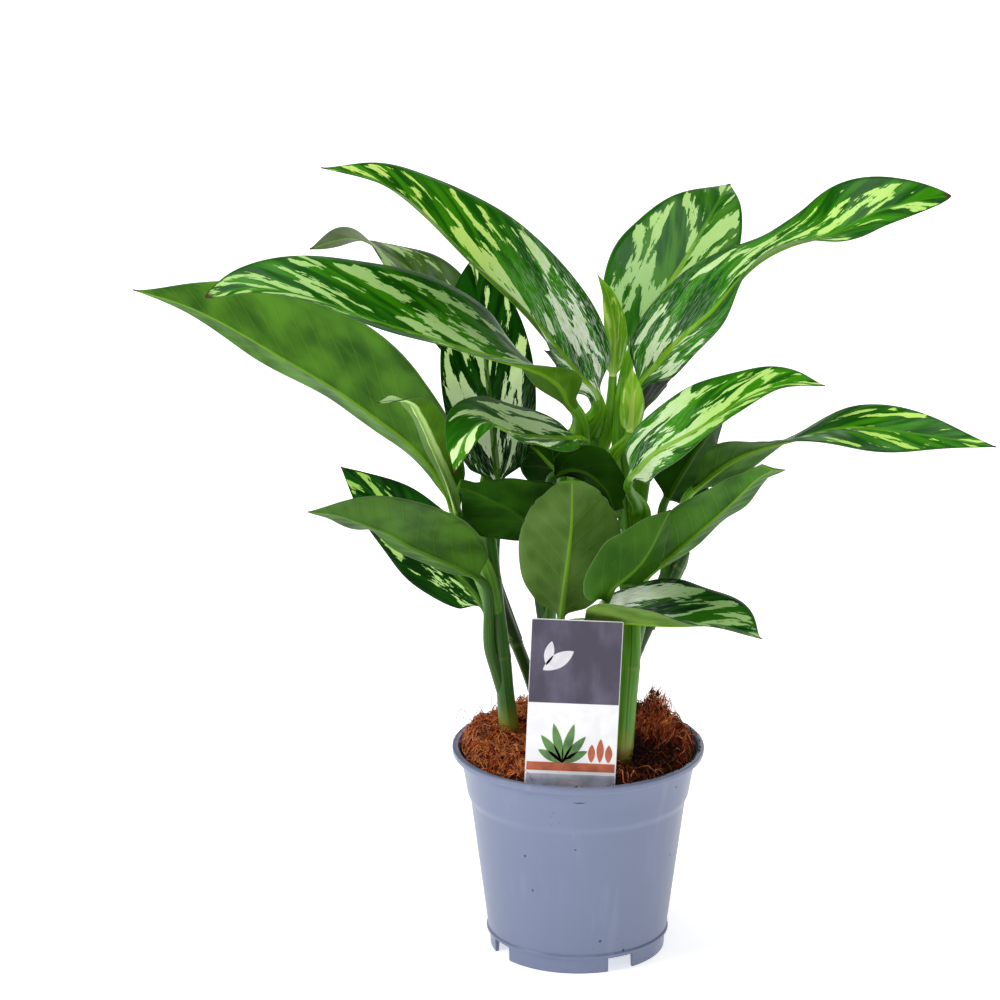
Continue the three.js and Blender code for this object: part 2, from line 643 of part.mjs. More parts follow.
add('pot', potOf(), FINISHES.pot);
add('soil', soilOf(), FINISHES.soil);
add('plant_label', labelOf(0), FINISHES.label);
for (const [place, cane] of Object.entries(CANES)) add(`cane_${place}`, caneOf(cane), FINISHES.cane);
for (const leaf of LEAVES) add(leaf.name, leafOf(leaf), leaf.wave === 0 ? FINISHES.shoot : FINISHES.leaf);

export default plant;
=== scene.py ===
"""A potted variegated Chinese evergreen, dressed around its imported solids.

Sizes are millimetres, but metres in the studio and in the relief of a finish. The finished meshes are metres,
with +Z up and the front of the plant facing -Y. Each piece is a surface worked out on a grid. The leaves,
the canes, the pot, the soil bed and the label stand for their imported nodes, and the soil's fibres and crumbs
are added to them.
"""

import logging
import math
from dataclasses import dataclass, field, replace
from enum import Enum
from functools import reduce
from typing import Sequence

import bpy
import numpy as np
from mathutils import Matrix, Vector


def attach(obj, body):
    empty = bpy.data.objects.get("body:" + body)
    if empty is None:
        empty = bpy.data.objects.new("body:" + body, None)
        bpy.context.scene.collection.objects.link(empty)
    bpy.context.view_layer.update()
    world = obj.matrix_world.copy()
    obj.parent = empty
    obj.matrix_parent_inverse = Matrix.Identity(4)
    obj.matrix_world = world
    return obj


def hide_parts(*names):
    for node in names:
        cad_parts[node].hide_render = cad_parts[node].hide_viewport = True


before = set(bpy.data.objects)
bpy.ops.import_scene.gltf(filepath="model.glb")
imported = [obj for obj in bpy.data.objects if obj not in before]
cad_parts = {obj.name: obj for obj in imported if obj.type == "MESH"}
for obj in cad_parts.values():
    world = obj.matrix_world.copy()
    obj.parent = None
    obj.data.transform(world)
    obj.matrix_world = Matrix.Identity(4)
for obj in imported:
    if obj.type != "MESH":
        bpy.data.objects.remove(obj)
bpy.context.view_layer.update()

Array = np.ndarray
Colour = tuple[float, float, float]
Point = tuple[float, float, float]
Socket = bpy.types.NodeSocket

log = logging.getLogger("plant")

METRES = 0.001
CENTIMETRES = 0.1

# Large odd numbers and shifts that scatter the bits of a cell's number.
HASH_AXES = np.array([73856093, 19349663, 83492791])
HASH_SEED = 2654435761
HASH_ROUNDS = ((15, 2246822519), (13, 3266489917))
HASH_LAST_SHIFT = 16
HASH_MASK = 0xFFFFFFFF

# How far red, green and blue light travel inside a leaf, as shares of the finish's depth.
LEAF_LIGHT = (0.6, 1.0, 0.25)


def paint(red: int, green: int, blue: int) -> Colour:
    """The scene-linear colour of a display colour.

    Args:
        red, green, blue: the display colour, each from 0 to 255.

    Returns:
        The same colour in linear light, by the usual display curve.
    """
    shares = np.array([red, green, blue]) / 255
    linear = np.where(shares <= 0.04045, shares / 12.92, ((shares + 0.055) / 1.055) ** 2.4)
    return tuple(float(value) for value in linear)


def ease(low: float, high: float, value: Array) -> Array:
    """A smooth step: 0 below low, 1 above high, and 3t^2 - 2t^3 between them."""
    share = np.clip((value - low) / (high - low), 0, 1)
    return share * share * (3 - 2 * share)


def unit(rows: Array) -> Array:
    """Each vector of an array, shortened or stretched to length 1."""
    return rows / np.maximum(np.linalg.norm(rows, axis=-1, keepdims=True), 1e-9)


class Growth:
    """A smooth curve through points, in cubic pieces whose slope at a point follows its two neighbours."""

    def __init__(self, points: Sequence[Sequence[float]]) -> None:
        """Keeps the points, with one more drawn on past each end.

        Args:
            points: the points in order, each a list of numbers.
        """
        self.points = np.asarray(points, float)
        self.last = len(self.points) - 1
        before = 2 * self.points[0] - self.points[1]
        after = 2 * self.points[-1] - self.points[-2]
        self.row = np.vstack([before, self.points, after])

    def at(self, t: Array) -> Array:
        """The points at t, counted along the row of points.

        Args:
            t: places from 0 to the number of the last point.

        Returns:
            One point for each place, by Hermite's cubic with half the neighbours' difference as slope.
        """
        t = np.clip(np.asarray(t, float), 0, self.last)
        k = np.minimum(t.astype(int), self.last - 1)
        w = (t - k)[..., None]
        p0, p1, p2, p3 = (self.row[k + n] for n in range(4))
        slope1, slope2 = (p2 - p0) / 2, (p3 - p1) / 2
        cubic = 2 * p1 - 2 * p2 + slope1 + slope2
        square = -3 * p1 + 3 * p2 - 2 * slope1 - slope2
        return ((cubic * w + square) * w + slope1) * w + p1

    def direction(self, t: Array) -> Array:
        """The unit vectors along the curve at t, from the difference of two near points."""
        step = 1e-3
        return unit(self.at(np.asarray(t) + step) - self.at(np.asarray(t) - step))

    def spaced(self, start: float, shares: Array) -> tuple[Array, float]:
        """The places at even distances along the curve from a start to its end.

        Args:
            start: the first place.
            shares: the wanted shares of the distance, from 0 to 1.

        Returns:
            The places, and the whole distance.
        """
        fine = np.linspace(start, self.last, 400)
        steps = np.linalg.norm(np.diff(self.at(fine), axis=0), axis=1)
        reach = np.concatenate([[0], np.cumsum(steps)])
        return np.interp(np.asarray(shares) * reach[-1], reach, fine), float(reach[-1])


def blend(values: Sequence, share: Array) -> Array:
    """Values spread evenly over 0 to 1, read smoothly.

    Args:
        values: one or more numbers or points.
        share: the places to read, from 0 to 1.

    Returns:
        One value for each share: the value itself, a straight mix of two, or a smooth curve through more.
    """
    row = np.asarray(values, float)
    row = row[:, None] if row.ndim == 1 else row
    share = np.asarray(share, float)
    if len(row) == 1:
        return np.repeat(row, len(share), axis=0)
    if len(row) == 2:
        return row[0] + (row[1] - row[0]) * share[:, None]
    return Growth(row).at(share * (len(row) - 1))


def hashed(cells: Array, seed: int) -> Array:
    """One even random number from 0 to 1 for each whole-numbered cell, always the same for a seed.

    Args:
        cells: whole numbers (..., 2).
        seed: which row of random numbers.

    Returns:
        The numbers (...), by rounds of mixed ^ (mixed >> shift) times a factor, cut to 32 bits.
    """
    mixed = cells.astype(np.int64) @ HASH_AXES[: cells.shape[-1]]
    mixed = (mixed + seed * HASH_SEED) & HASH_MASK
    for shift, factor in HASH_ROUNDS:
        mixed = ((mixed ^ (mixed >> shift)) * factor) & HASH_MASK
    return (mixed ^ (mixed >> HASH_LAST_SHIFT)) / HASH_MASK


def lattice(places: Array, seed: int) -> Array:
    """Smooth random relief from -1 to 1: random corners of a square grid, mixed by ease(0, 1, offset).

    Args:
        places: points (..., 2) in cells of the grid.
        seed: which relief.

    Returns:
        One height for each place.
    """
    cell = np.floor(places)
    offset = ease(0, 1, places - cell)
    corners = [hashed(cell + np.array([dx, dy]), seed) for dy in (0, 1) for dx in (0, 1)]
    low = corners[0] + (corners[1] - corners[0]) * offset[..., 0]
    high = corners[2] + (corners[3] - corners[2]) * offset[..., 0]
    return 2 * (low + (high - low) * offset[..., 1]) - 1


@dataclass
class Skin:
    """Grids of points gathered into one mesh, with a finish for each face and two named rows of numbers.

    A vertex carries "lay", its place on the surface (along, across, share of the way), and "reach", how far
    out from the middle it is, from 0 to 1. Faces are kept by how many corners they have.
    """

    points: list[Array] = field(default_factory=list)
    lays: list[Array] = field(default_factory=list)
    reaches: list[Array] = field(default_factory=list)
    faces: dict[int, list[Array]] = field(default_factory=lambda: {4: [], 3: []})
    finishes: dict[int, list[Array]] = field(default_factory=lambda: {4: [], 3: []})
    count: int = 0

    def add_points(self, points: Array, lay: Array | None = None, reach: Array | None = None) -> int:
        """Puts points in.

        Args:
            points: any grid of points (..., 3), in millimetres.
            lay: the grid of places on the surface, or None for zeros.
            reach: the grid of reaches, or None for zeros.

        Returns:
            The number of the first one.
        """
        flat = points.reshape(-1, 3)
        first = self.count
        self.points.append(flat)
        self.lays.append(np.zeros_like(flat) if lay is None else lay.reshape(-1, 3))
        self.reaches.append(np.zeros(len(flat)) if reach is None else reach.reshape(-1))
        self.count += len(flat)
        return first

    def add_faces(self, faces: Array, finish: Array | int) -> None:
        """Puts faces in.

        Args:
            faces: the numbers of their corners, (..., 4) or (..., 3).
            finish: one finish, or one for each face.
        """
        corners = faces.shape[-1]
        rows = faces.reshape(-1, corners)
        self.faces[corners].append(rows)
        self.finishes[corners].append(np.broadcast_to(finish, len(rows)))

    def tube(
        self, rings: Array, finish: Array | int = 0, lay: Array | None = None, reach: Array | None = None
    ) -> None:
        """A closed skin over a row of rings, with a fan of triangles over both ends.

        Args:
            rings: points (rows, sides, 3), running against the clock seen from the last ring.
            finish: one finish, or one for each face as (rows - 1, sides).
            lay: places on the surface (rows, sides, 3).
            reach: reaches (rows, sides).
        """
        rows, sides = rings.shape[:2]
        first = self.add_points(rings, lay, reach)
        row = np.arange(rows - 1)[:, None] * sides
        here = np.arange(sides)[None, :]
        there = (here + 1) % sides
        faces = np.stack([row + here, row + there, row + there + sides, row + here + sides], axis=-1)
        single = np.isscalar(finish)
        self.add_faces(first + faces, finish if single else np.asarray(finish).reshape(-1))
        ends = [0, rows - 1]
        lays = None if lay is None else lay[ends].mean(axis=1)
        reaches = None if reach is None else reach[ends].mean(axis=1)
        centres = self.add_points(rings[ends].mean(axis=1), lays, reaches)
        top = first + (rows - 1) * sides
        low = np.stack([np.full(sides, centres), first + there[0], first + here[0]], axis=-1)
        high = np.stack([np.full(sides, centres + 1), top + here[0], top + there[0]], axis=-1)
        start, stop = (finish, finish) if single else (finish[0][0], finish[-1][0])
        self.add_faces(low, int(start))
        self.add_faces(high, int(stop))

    def threads(self, paths: Array, radii: Array, finishes: Array, sides: int = 3) -> None:
        """Many thin closed threads at once, each a row of small rings carried along its path.

        Args:
            paths: points (threads, steps, 3).
            radii: radii (threads, steps).
            finishes: one finish for each thread.
            sides: corners of a ring.
        """
        count, steps = paths.shape[:2]
        along = unit(np.gradient(paths, axis=1))
        helper = np.where(np.abs(along[..., 2:]) > 0.9, [1.0, 0, 0], [0, 0, 1.0])
        across = unit(np.cross(helper, along))
        rise = np.cross(along, across)
        angle = np.arange(sides) * 2 * math.pi / sides
        spread = radii[..., None, None]
        rings = (
            paths[:, :, None]
            + spread * np.cos(angle)[:, None] * across[:, :, None]
            + spread * np.sin(angle)[:, None] * rise[:, :, None]
        )
        first = self.add_points(rings)
        here = np.arange(sides)
        there = (here + 1) % sides
        thread = np.arange(count)[:, None, None] * steps * sides
        row = np.arange(steps - 1)[None, :, None] * sides
        base = first + thread + row
        faces = np.stack([base + here, base + there, base + there + sides, base + here + sides], axis=-1)
        self.add_faces(faces, np.repeat(finishes, (steps - 1) * sides))
        end = first + np.arange(count) * steps * sides
        low = np.stack([end + 2, end + 1, end], axis=-1)
        tip = end + (steps - 1) * sides
        high = np.stack([tip, tip + 1, tip + 2], axis=-1)
        for kind in np.unique(finishes):
            chosen = finishes == kind
            self.add_faces(np.concatenate([low[chosen], high[chosen]]), int(kind))

    def shell(
        self, name: str, materials: Sequence[bpy.types.Material], sharp: float | None = None
    ) -> bpy.types.Object:
        """The gathered grids as one Blender object at the origin, with its faces turned outwards.

        Args:
            name: the object's name.
            materials: the finishes, in the order that the faces number them.
            sharp: the angle in degrees past which an edge stays sharp, or None for none.

        Returns:
            The object, linked into the scene.
        """
        points = np.concatenate(self.points) * METRES
        faces = [rows for group in self.faces.values() for rows in group]
        corners = np.concatenate([rows.reshape(-1) for rows in faces])
        sizes = np.concatenate([np.full(len(rows), rows.shape[1]) for rows in faces])
        starts = np.concatenate([[0], np.cumsum(sizes)[:-1]])
        finishes = np.concatenate([row for group in self.finishes.values() for row in group])
        mesh = bpy.data.meshes.new(name)
        mesh.vertices.add(len(points))
        mesh.vertices.foreach_set("co", points.astype(np.float32).reshape(-1))
        mesh.loops.add(len(corners))
        mesh.loops.foreach_set("vertex_index", corners.astype(np.int32))
        mesh.polygons.add(len(sizes))
        mesh.polygons.foreach_set("loop_start", starts.astype(np.int32))
        mesh.polygons.foreach_set("material_index", finishes.astype(np.int32))
        mesh.polygons.foreach_set("use_smooth", np.ones(len(sizes), bool))
        lay = mesh.attributes.new("lay", "FLOAT_VECTOR", "POINT")
        lay.data.foreach_set("vector", np.concatenate(self.lays).astype(np.float32).reshape(-1))
        reach = mesh.attributes.new("reach", "FLOAT", "POINT")
        reach.data.foreach_set("value", np.concatenate(self.reaches).astype(np.float32))
        mesh.update(calc_edges=True)
        mesh.validate()
        if sharp is not None:
            mesh.set_sharp_from_angle(angle=math.radians(sharp))
        for material in materials:
            mesh.materials.append(material)
        piece = bpy.data.objects.new(name, mesh)
        bpy.context.scene.collection.objects.link(piece)
        return piece


def settle(piece: bpy.types.Object, slot: str, *nodes: str) -> bpy.types.Object:
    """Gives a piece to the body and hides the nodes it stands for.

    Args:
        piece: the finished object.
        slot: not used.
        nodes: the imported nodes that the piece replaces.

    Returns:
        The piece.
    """
    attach(piece, "root")
    if nodes:
        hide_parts(*nodes)
    log.info("%s: %d faces", piece.name, len(piece.data.polygons))
    return piece


class Shade:
    """A material under construction: one Principled shader and short ways to put nodes in front of it."""

    def __init__(self, name: str) -> None:
        """Starts a material with its shader joined to its output.

        Args:
            name: the material's name.
        """
        self.material = bpy.data.materials.new(name)
        self.material.use_nodes = True
        self.tree = self.material.node_tree
        self.tree.nodes.clear()
        self.shader = self.tree.nodes.new("ShaderNodeBsdfPrincipled")
        output = self.tree.nodes.new("ShaderNodeOutputMaterial")
        self.tree.links.new(self.shader.outputs[0], output.inputs[0])

    def feed(self, socket: Socket, value: Socket | float | Sequence[float]) -> None:
        """Joins a socket to another's value, or sets its own number or colour.

        Args:
            socket: an input of a node.
            value: an output of another node, a number, a vector or a colour.
        """
        if isinstance(value, bpy.types.NodeSocket):
            self.tree.links.new(value, socket)
        elif isinstance(value, (int, float)):
            socket.default_value = value
        else:
            short = len(socket.default_value) == 4 and len(value) == 3
            socket.default_value = (*value, 1.0) if short else tuple(value)

    def node(self, kind: str, output: int | str = 0, **inputs: Socket | float | Sequence[float]) -> Socket:
        """A new node's output.

        Args:
            kind: the node's type, without its first word.
            output: the output's number or name.
            inputs: the values of its named inputs, with _ for a space.

        Returns:
            The output.
        """
        node = self.tree.nodes.new(f"ShaderNode{kind}")
        for name, value in inputs.items():
            self.feed(node.inputs[name.replace("_", " ")], value)
        return node.outputs[output]

    def set(self, **numbers: Socket | float | Colour) -> None:
        """Sets the shader's own sockets, named with _ for a space."""
        for name, number in numbers.items():
            self.feed(self.shader.inputs[name.replace("_", " ")], number)

    def math(self, operation: str, *values: Socket | float) -> Socket:
        """The result of one sum.

        Args:
            operation: its name.
            values: what it works on.

        Returns:
            The result.
        """
        node = self.tree.nodes.new("ShaderNodeMath")
        node.operation = operation
        for socket, value in zip(node.inputs, values):
            self.feed(socket, value)
        return node.outputs[0]

    def total(self, *values: Socket | float) -> Socket:
        """The sum of several values."""
        return reduce(lambda result, value: self.math("ADD", result, value), values)

    def product(self, first: Socket, second: Socket) -> Socket:
        """One value times another."""
        return self.math("MULTIPLY", first, second)

    def scaled(self, value: Socket, factor: float, shift: float = 0.0) -> Socket:
        """A value times a factor, plus a shift."""
        return self.math("MULTIPLY_ADD", value, factor, shift)

    def ease(self, value: Socket, low: float, high: float) -> Socket:
        """A smooth step, 3t^2 - 2t^3, from 0 at low to 1 at high.

        Args:
            value: the value that t is worked out from.
            low, high: where the step starts and ends. The step falls where low is the larger one.

        Returns:
            The step.
        """
        node = self.tree.nodes.new("ShaderNodeMapRange")
        node.interpolation_type = "SMOOTHSTEP"
        start, stop = (1.0, 0.0) if low > high else (0.0, 1.0)
        numbers = {"From Min": min(low, high), "From Max": max(low, high), "To Min": start, "To Max": stop}
        for name, number in {"Value": value, **numbers}.items():
            self.feed(node.inputs[name], number)
        return node.outputs["Result"]

    def mix(self, share: Socket | float, first: Socket | Colour, second: Socket | Colour) -> Socket:
        """A mix of two colours.

        Args:
            share: how much of the second one there is, from 0 to 1.
            first, second: the colours.

        Returns:
            The mixed colour.
        """
        node = self.tree.nodes.new("ShaderNodeMix")
        node.data_type = "RGBA"
        colours = [socket for socket in node.inputs if socket.type == "RGBA"]
        for socket, value in zip((node.inputs[0], *colours), (share, first, second)):
            self.feed(socket, value)
        return next(socket for socket in node.outputs if socket.type == "RGBA")

    def over(self, colour: Socket | Colour, tone: Socket | Colour, mask: Socket, strength: float) -> Socket:
        """A colour with a tone laid over it by a mask times a strength."""
        return self.mix(self.scaled(mask, strength), colour, tone)

    def place(self) -> Socket:
        """The point's place in the object's own space, in metres."""
        return self.node("TexCoord", "Object")

    def surface(self) -> tuple[Socket, Socket, Socket, Socket]:
        """Where the point lies on its surface.

        Returns:
            Along, across, share of the way and reach from the middle.
        """
        lay, reach = (self.tree.nodes.new("ShaderNodeAttribute") for _ in range(2))
        lay.attribute_name, reach.attribute_name = "lay", "reach"
        apart = self.tree.nodes.new("ShaderNodeSeparateXYZ")
        self.feed(apart.inputs[0], lay.outputs["Vector"])
        return (*apart.outputs, reach.outputs["Fac"])

    def joined(self, x: Socket | float, y: Socket | float, z: Socket | float) -> Socket:
        """Three values as one vector."""
        return self.node("CombineXYZ", X=x, Y=y, Z=z)

    def stretched(self, vector: Socket, scale: Point) -> Socket:
        """A vector with each of its parts multiplied."""
        return self.node("Mapping", Vector=vector, Scale=scale)

    def noise(
        self, vector: Socket, scale: float = 1.0, detail: float = 2.0, roughness: float = 0.5,
        distortion: float = 0.0,
    ) -> Socket:
        """Soft random values about 0.5.

        Args:
            vector: the places.
            scale, detail, roughness, distortion: the noise node's own numbers.

        Returns:
            The values.
        """
        return self.node("TexNoise", "Fac", Vector=vector, Scale=scale, Detail=detail, Roughness=roughness,
                         Distortion=distortion)

    def cells(self, vector: Socket, scale: float) -> Socket:
        """The distance to the nearest of many scattered points."""
        return self.node("TexVoronoi", "Distance", Vector=vector, Scale=scale)

    def bump(self, height: Socket, distance: float, strength: float = 1.0) -> None:
        """Roughens the surface by a height from 0 to 1 times a distance in metres."""
        self.set(Normal=self.node("Bump", Strength=strength, Distance=distance, Height=height))

    def colour(self, colour: Socket | Colour) -> None:
        """Sets the surface's colour."""
        self.set(Base_Color=colour)

    def rough(self, value: Socket | float) -> None:
        """Sets the surface's roughness."""
        self.set(Roughness=value)

    def living(self, gloss: float, weight: float, depth: float) -> None:
        """Sets how glossy a green surface is, how much light enters it and how deep, in metres."""
        self.set(Specular_IOR_Level=gloss, Subsurface_Weight=weight, Subsurface_Radius=LEAF_LIGHT,
                 Subsurface_Scale=depth)


@dataclass(frozen=True)
class FaceLines:
    """The lines on one face of a leaf, in centimetres from its midrib or as shares of the way to its margin.

    The midrib's line is rib_half to each side where it starts and narrows by rib_narrowing. The margin's
    tone comes in between the two reaches of rim. The pale band at the midrib narrows by band_narrowing, and
    its edge is as uneven as band_ragged and as soft as band_blur. Each has its strength. Light enters the
    face by a weight to a depth, and relief is the height of its bumps, both in metres.
    """

    rib_half: float
    rib_narrowing: float
    rib_strength: float
    rim: tuple[float, float]
    rim_strength: float
    band_narrowing: float
    band_ragged: float
    band_blur: float
    band_strength: float
    weight: float
    depth: float
    relief: float
    rib_blur: float = 0.03
    tip: tuple[float, float] = (0.975, 0.992)
    bumps: float = 0.6


UPPER_LINES = FaceLines(
    rib_half=0.17, rib_narrowing=0.14, rib_strength=0.85, rim=(0.978, 0.992), rim_strength=0.8,
    band_narrowing=0.2, band_ragged=0.16, band_blur=0.02, band_strength=1.0,
    weight=0.06, depth=0.0012, relief=0.00025,
)
BELOW_LINES = FaceLines(
    rib_half=0.13, rib_narrowing=0.11, rib_strength=0.6, rim=(0.975, 0.99), rim_strength=0.6,
    band_narrowing=0.25, band_ragged=0.1, band_blur=0.05, band_strength=0.9,
    weight=0.08, depth=0.0015, relief=0.0002,
)


@dataclass(frozen=True)
class LeafCoat:
    """The look of one leaf: its ground, the pale pattern on it, its underside, midrib, margin, tip and stalk.

    seed picks the pattern, cover raises or lowers how much of the blade it takes up, silver_and_sheen says
    how much more pattern the base of the blade has and how white it is there, a white that is painted sheen
    of reflected light, shine how rough and gloss how glossy its faces are, and band how wide the pale band at
    the midrib is, in centimetres. The pattern follows side veins that lean towards the tip by slant and bend
    by bend, side_shift moves it on one half of the blade, and cut is where the pale patches start.
    Below, the veins lean and bend by under_slant and under_bend, and are under_pitch centimetres apart.
    stem and stem_light are the two tones of the stalk.
    """

    deep: Colour = paint(18, 80, 3)
    fresh: Colour = paint(56, 132, 5)
    pale: Colour = paint(190, 230, 106)
    pale_grey: Colour = paint(176, 214, 132)
    under: Colour = paint(62, 106, 8)
    under_light: Colour = paint(92, 138, 24)
    rib: Colour = paint(122, 172, 28)
    margin: Colour = paint(108, 116, 92)
    tip: Colour = paint(70, 56, 40)
    painted_sheen_white: Colour = paint(246, 249, 242)
    seed: float = 0.0
    cover: float = 0.0
    silver_and_sheen: float = 0.0
    shine: float = 0.3
    band: float = 0.0
    gloss: float = 0.1
    slant: float = 2.7
    bend: float = 0.12
    side_shift: float = 7.3
    cut: float = 0.55
    under_slant: float = 1.25
    under_bend: float = 0.06
    under_pitch: float = 1.1
    stem: Colour = paint(74, 142, 8)
    stem_light: Colour = paint(124, 186, 30)

    def veins(self, shade: Shade, along: Socket, out: Socket, slant: float, bend: float) -> Socket:
        """A point's place across the side veins, which leave the midrib: along - slant out + bend out^2."""
        return shade.total(along, shade.scaled(out, -slant), shade.scaled(shade.product(out, out), bend))

    def pattern(self, shade: Shade) -> dict[str, Socket]:
        """The pattern's parts, worked out along and across the side veins.

        Args:
            shade: the material under construction.

        Returns:
            The pale patches, the softer halo round them, the fine streaks and the surface's own places.
        """
        along, across, share, reach = shade.surface()
        out = shade.math("ABSOLUTE", across)
        veins = self.veins(shade, along, out, self.slant, self.bend)
        side = shade.scaled(shade.math("GREATER_THAN", across, 0.0), self.side_shift, self.seed)

        def grain(down: float, outwards: float, **options: float) -> Socket:
            """Noise drawn out along the side veins."""
            places = shade.joined(shade.scaled(veins, down), shade.scaled(out, outwards), side)
            return shade.noise(places, **options)

        patches = grain(0.5, 0.9, detail=2.5, distortion=0.7)
        ragged = grain(1.3, 5.5, detail=3.0, roughness=0.62)
        flecks = grain(8.0, 4.5)
        edge = shade.scaled(shade.ease(reach, 0.8, 0.98), -0.17)
        base = shade.scaled(shade.ease(share, 0.6, 0.0), 0.005 + 0.015 * self.silver_and_sheen)
        uneven = (shade.scaled(ragged, 0.3, -0.15), shade.scaled(flecks, 0.12, -0.06))
        value = shade.total(patches, *uneven, edge, base, self.cover)
        return {
            "patches": shade.ease(value, self.cut, self.cut + 0.01),
            "halo": shade.ease(value, self.cut - 0.07, self.cut + 0.01),
            "flecks": flecks, "ragged": ragged, "veins": veins,
            "along": along, "out": out, "share": share, "reach": reach, "side": side,
        }

    def lined(
        self, shade: Shade, form: dict[str, Socket], lines: FaceLines, colours: tuple[Socket | Colour, ...],
        relief: Socket,
    ) -> None:
        """Lays a face's lines over its colour, and sets the colour, the light in it and its relief.

        Args:
            shade: the material under construction.
            form: the pattern's parts.
            lines: the lines of this face.
            colours: the face's colour, the pale band's and the midrib's.
            relief: the height of the bumps, from 0 to 1.
        """
        colour, band, rib = colours
        share, out = form["share"], form["out"]
        if self.band:
            edge = shade.scaled(form["ragged"], lines.band_ragged, -lines.band_ragged / 2)
            wide = shade.total(out, edge, shade.scaled(share, lines.band_narrowing, -self.band))
            blurred = shade.ease(wide, lines.band_blur, -lines.band_blur)
            colour = shade.over(colour, band, blurred, lines.band_strength)
        beyond = shade.math("SUBTRACT", out, shade.scaled(share, -lines.rib_narrowing, lines.rib_half))
        colour = shade.over(colour, rib, shade.ease(beyond, lines.rib_blur, 0.0), lines.rib_strength)
        colour = shade.over(colour, self.margin, shade.ease(form["reach"], *lines.rim), lines.rim_strength)
        shade.colour(shade.mix(shade.ease(share, *lines.tip), colour, self.tip))
        shade.living(self.gloss, lines.weight, lines.depth)
        shade.bump(relief, lines.relief, lines.bumps)

    def upper(self, name: str) -> bpy.types.Material:
        """The glossy upper face: a deep green ground with pale patches along the veins.

        Args:
            name: the material's name.

        Returns:
            The material.
        """
        shade = Shade(name)
        form = self.pattern(shade)
        share, out, flecks = form["share"], form["out"], form["flecks"]
        clouds = shade.noise(shade.joined(form["veins"], shade.scaled(out, 0.7), form["side"]), scale=0.8)
        ground = shade.mix(shade.ease(clouds, 0.38, 0.62), self.deep, self.fresh)
        ground = shade.over(ground, self.fresh, form["halo"], 0.35)
        ground = shade.over(ground, self.deep, shade.ease(form["reach"], 0.7, 1.0), 0.6)
        light = shade.mix(shade.ease(share, 0.25, 0.7), self.pale_grey, self.pale)
        # Near the base the pale patches whiten in flecks and white streaks lie over the blade: painted sheen
        # of light reflected off the glossy base.
        painted_sheen = shade.scaled(shade.ease(share, 0.55, 0.12), self.silver_and_sheen)
        light = shade.mix(shade.product(painted_sheen, shade.ease(flecks, 0.3, 0.55)), light, self.painted_sheen_white)
        colour = shade.mix(form["patches"], ground, light)
        streaks = shade.product(painted_sheen, shade.ease(flecks, 0.5, 0.6))
        colour = shade.over(colour, self.painted_sheen_white, streaks, 0.4)
        rib = shade.mix(shade.ease(share, 0.2, 0.85), self.rib, self.fresh)
        relief = shade.total(shade.scaled(form["ragged"], 0.7), shade.scaled(flecks, 0.3))
        self.lined(shade, form, UPPER_LINES, (colour, light, rib), relief)
        shade.rough(shade.scaled(form["ragged"], 0.16, self.shine - 0.06))
        return shade.material

    def below(self, name: str) -> bpy.types.Material:
        """The duller underside: clouded plain green with light veins, a midrib and a fine margin.

        Args:
            name: the material's name.

        Returns:
            The material.
        """
        shade = Shade(name)
        form = self.pattern(shade)
        along, out = form["along"], form["out"]
        clouds = shade.noise(shade.joined(along, out, form["side"]), scale=0.6, detail=1.5)
        colour = shade.mix(shade.ease(clouds, 0.28, 0.72), self.under, self.under_light)
        colour = shade.over(colour, self.under_light, form["halo"], 0.22)
        rows = self.veins(shade, along, out, self.under_slant, self.under_bend)
        wave = shade.math("SINE", shade.scaled(rows, 2 * math.pi / self.under_pitch))
        vein = shade.product(shade.ease(wave, 0.955, 1.0), shade.ease(form["reach"], 0.95, 0.6))
        colour = shade.over(colour, self.rib, vein, 0.14)
        relief = shade.total(form["ragged"], shade.scaled(vein, 0.6))
        self.lined(shade, form, BELOW_LINES, (colour, self.pale, self.rib), relief)
        shade.rough(shade.scaled(form["ragged"], 0.15, 0.42))
        return shade.material

    def petiole(self, name: str) -> bpy.types.Material:
        """The leaf's stalk: fresh green with fine lines along it, tinted like the underside near the cane.

        Args:
            name: the material's name.

        Returns:
            The material.
        """
        shade = Shade(name)
        along, across, share, _ = shade.surface()
        fine = shade.joined(shade.scaled(across, 6.0), shade.scaled(along, 0.5), self.seed)
        lines = shade.noise(fine, detail=3.0)
        colour = shade.mix(shade.ease(lines, 0.35, 0.65), self.stem, self.stem_light)
        shade.colour(shade.over(colour, self.under, shade.ease(share, 0.3, 0.0), 0.6))
        shade.rough(shade.scaled(lines, 0.15, 0.3))
        shade.living(gloss=0.3, weight=0.08, depth=0.002)
        shade.bump(lines, 0.0003, 0.5)
        return shade.material


class LeafFace(Enum):
    """The finishes of a leaf, in the order of its material slots."""

    UPPER = 0
    BELOW = 1
    PETIOLE = 2


@dataclass(frozen=True)
class Habit:
    """How one leaf grows.

    cane, height and side say where its stalk starts, and midrib has the points that the blade grows
    through. looks gives the way that its upper face turns, fold the angle of its two halves in degrees,
    half the widest reach from the midrib, peak where that is, fullness how bluntly the blade ends, tip the
    least reach, wave and waves the ripple of its margin, and quilt the relief between its side veins. lean
    moves the midrib to one side of the blade, sheath widens the foot of the stalk, and torn frays the tip.
    """

    name: str
    cane: str
    height: float
    side: float
    midrib: tuple[Point, ...]
    looks: tuple[Point, ...]
    half: float
    coat: LeafCoat
    fold: tuple[float, ...] = (15,)
    peak: float = 0.42
    fullness: float = 1.5
    tip: float = 0.5
    wave: float = 1.0
    waves: float = 2.5
    stalk_radius: float = 2.6
    quilt: float = 0.16
    lean: float = 0.0
    sheath: float = 0.4
    torn: float = 0.0


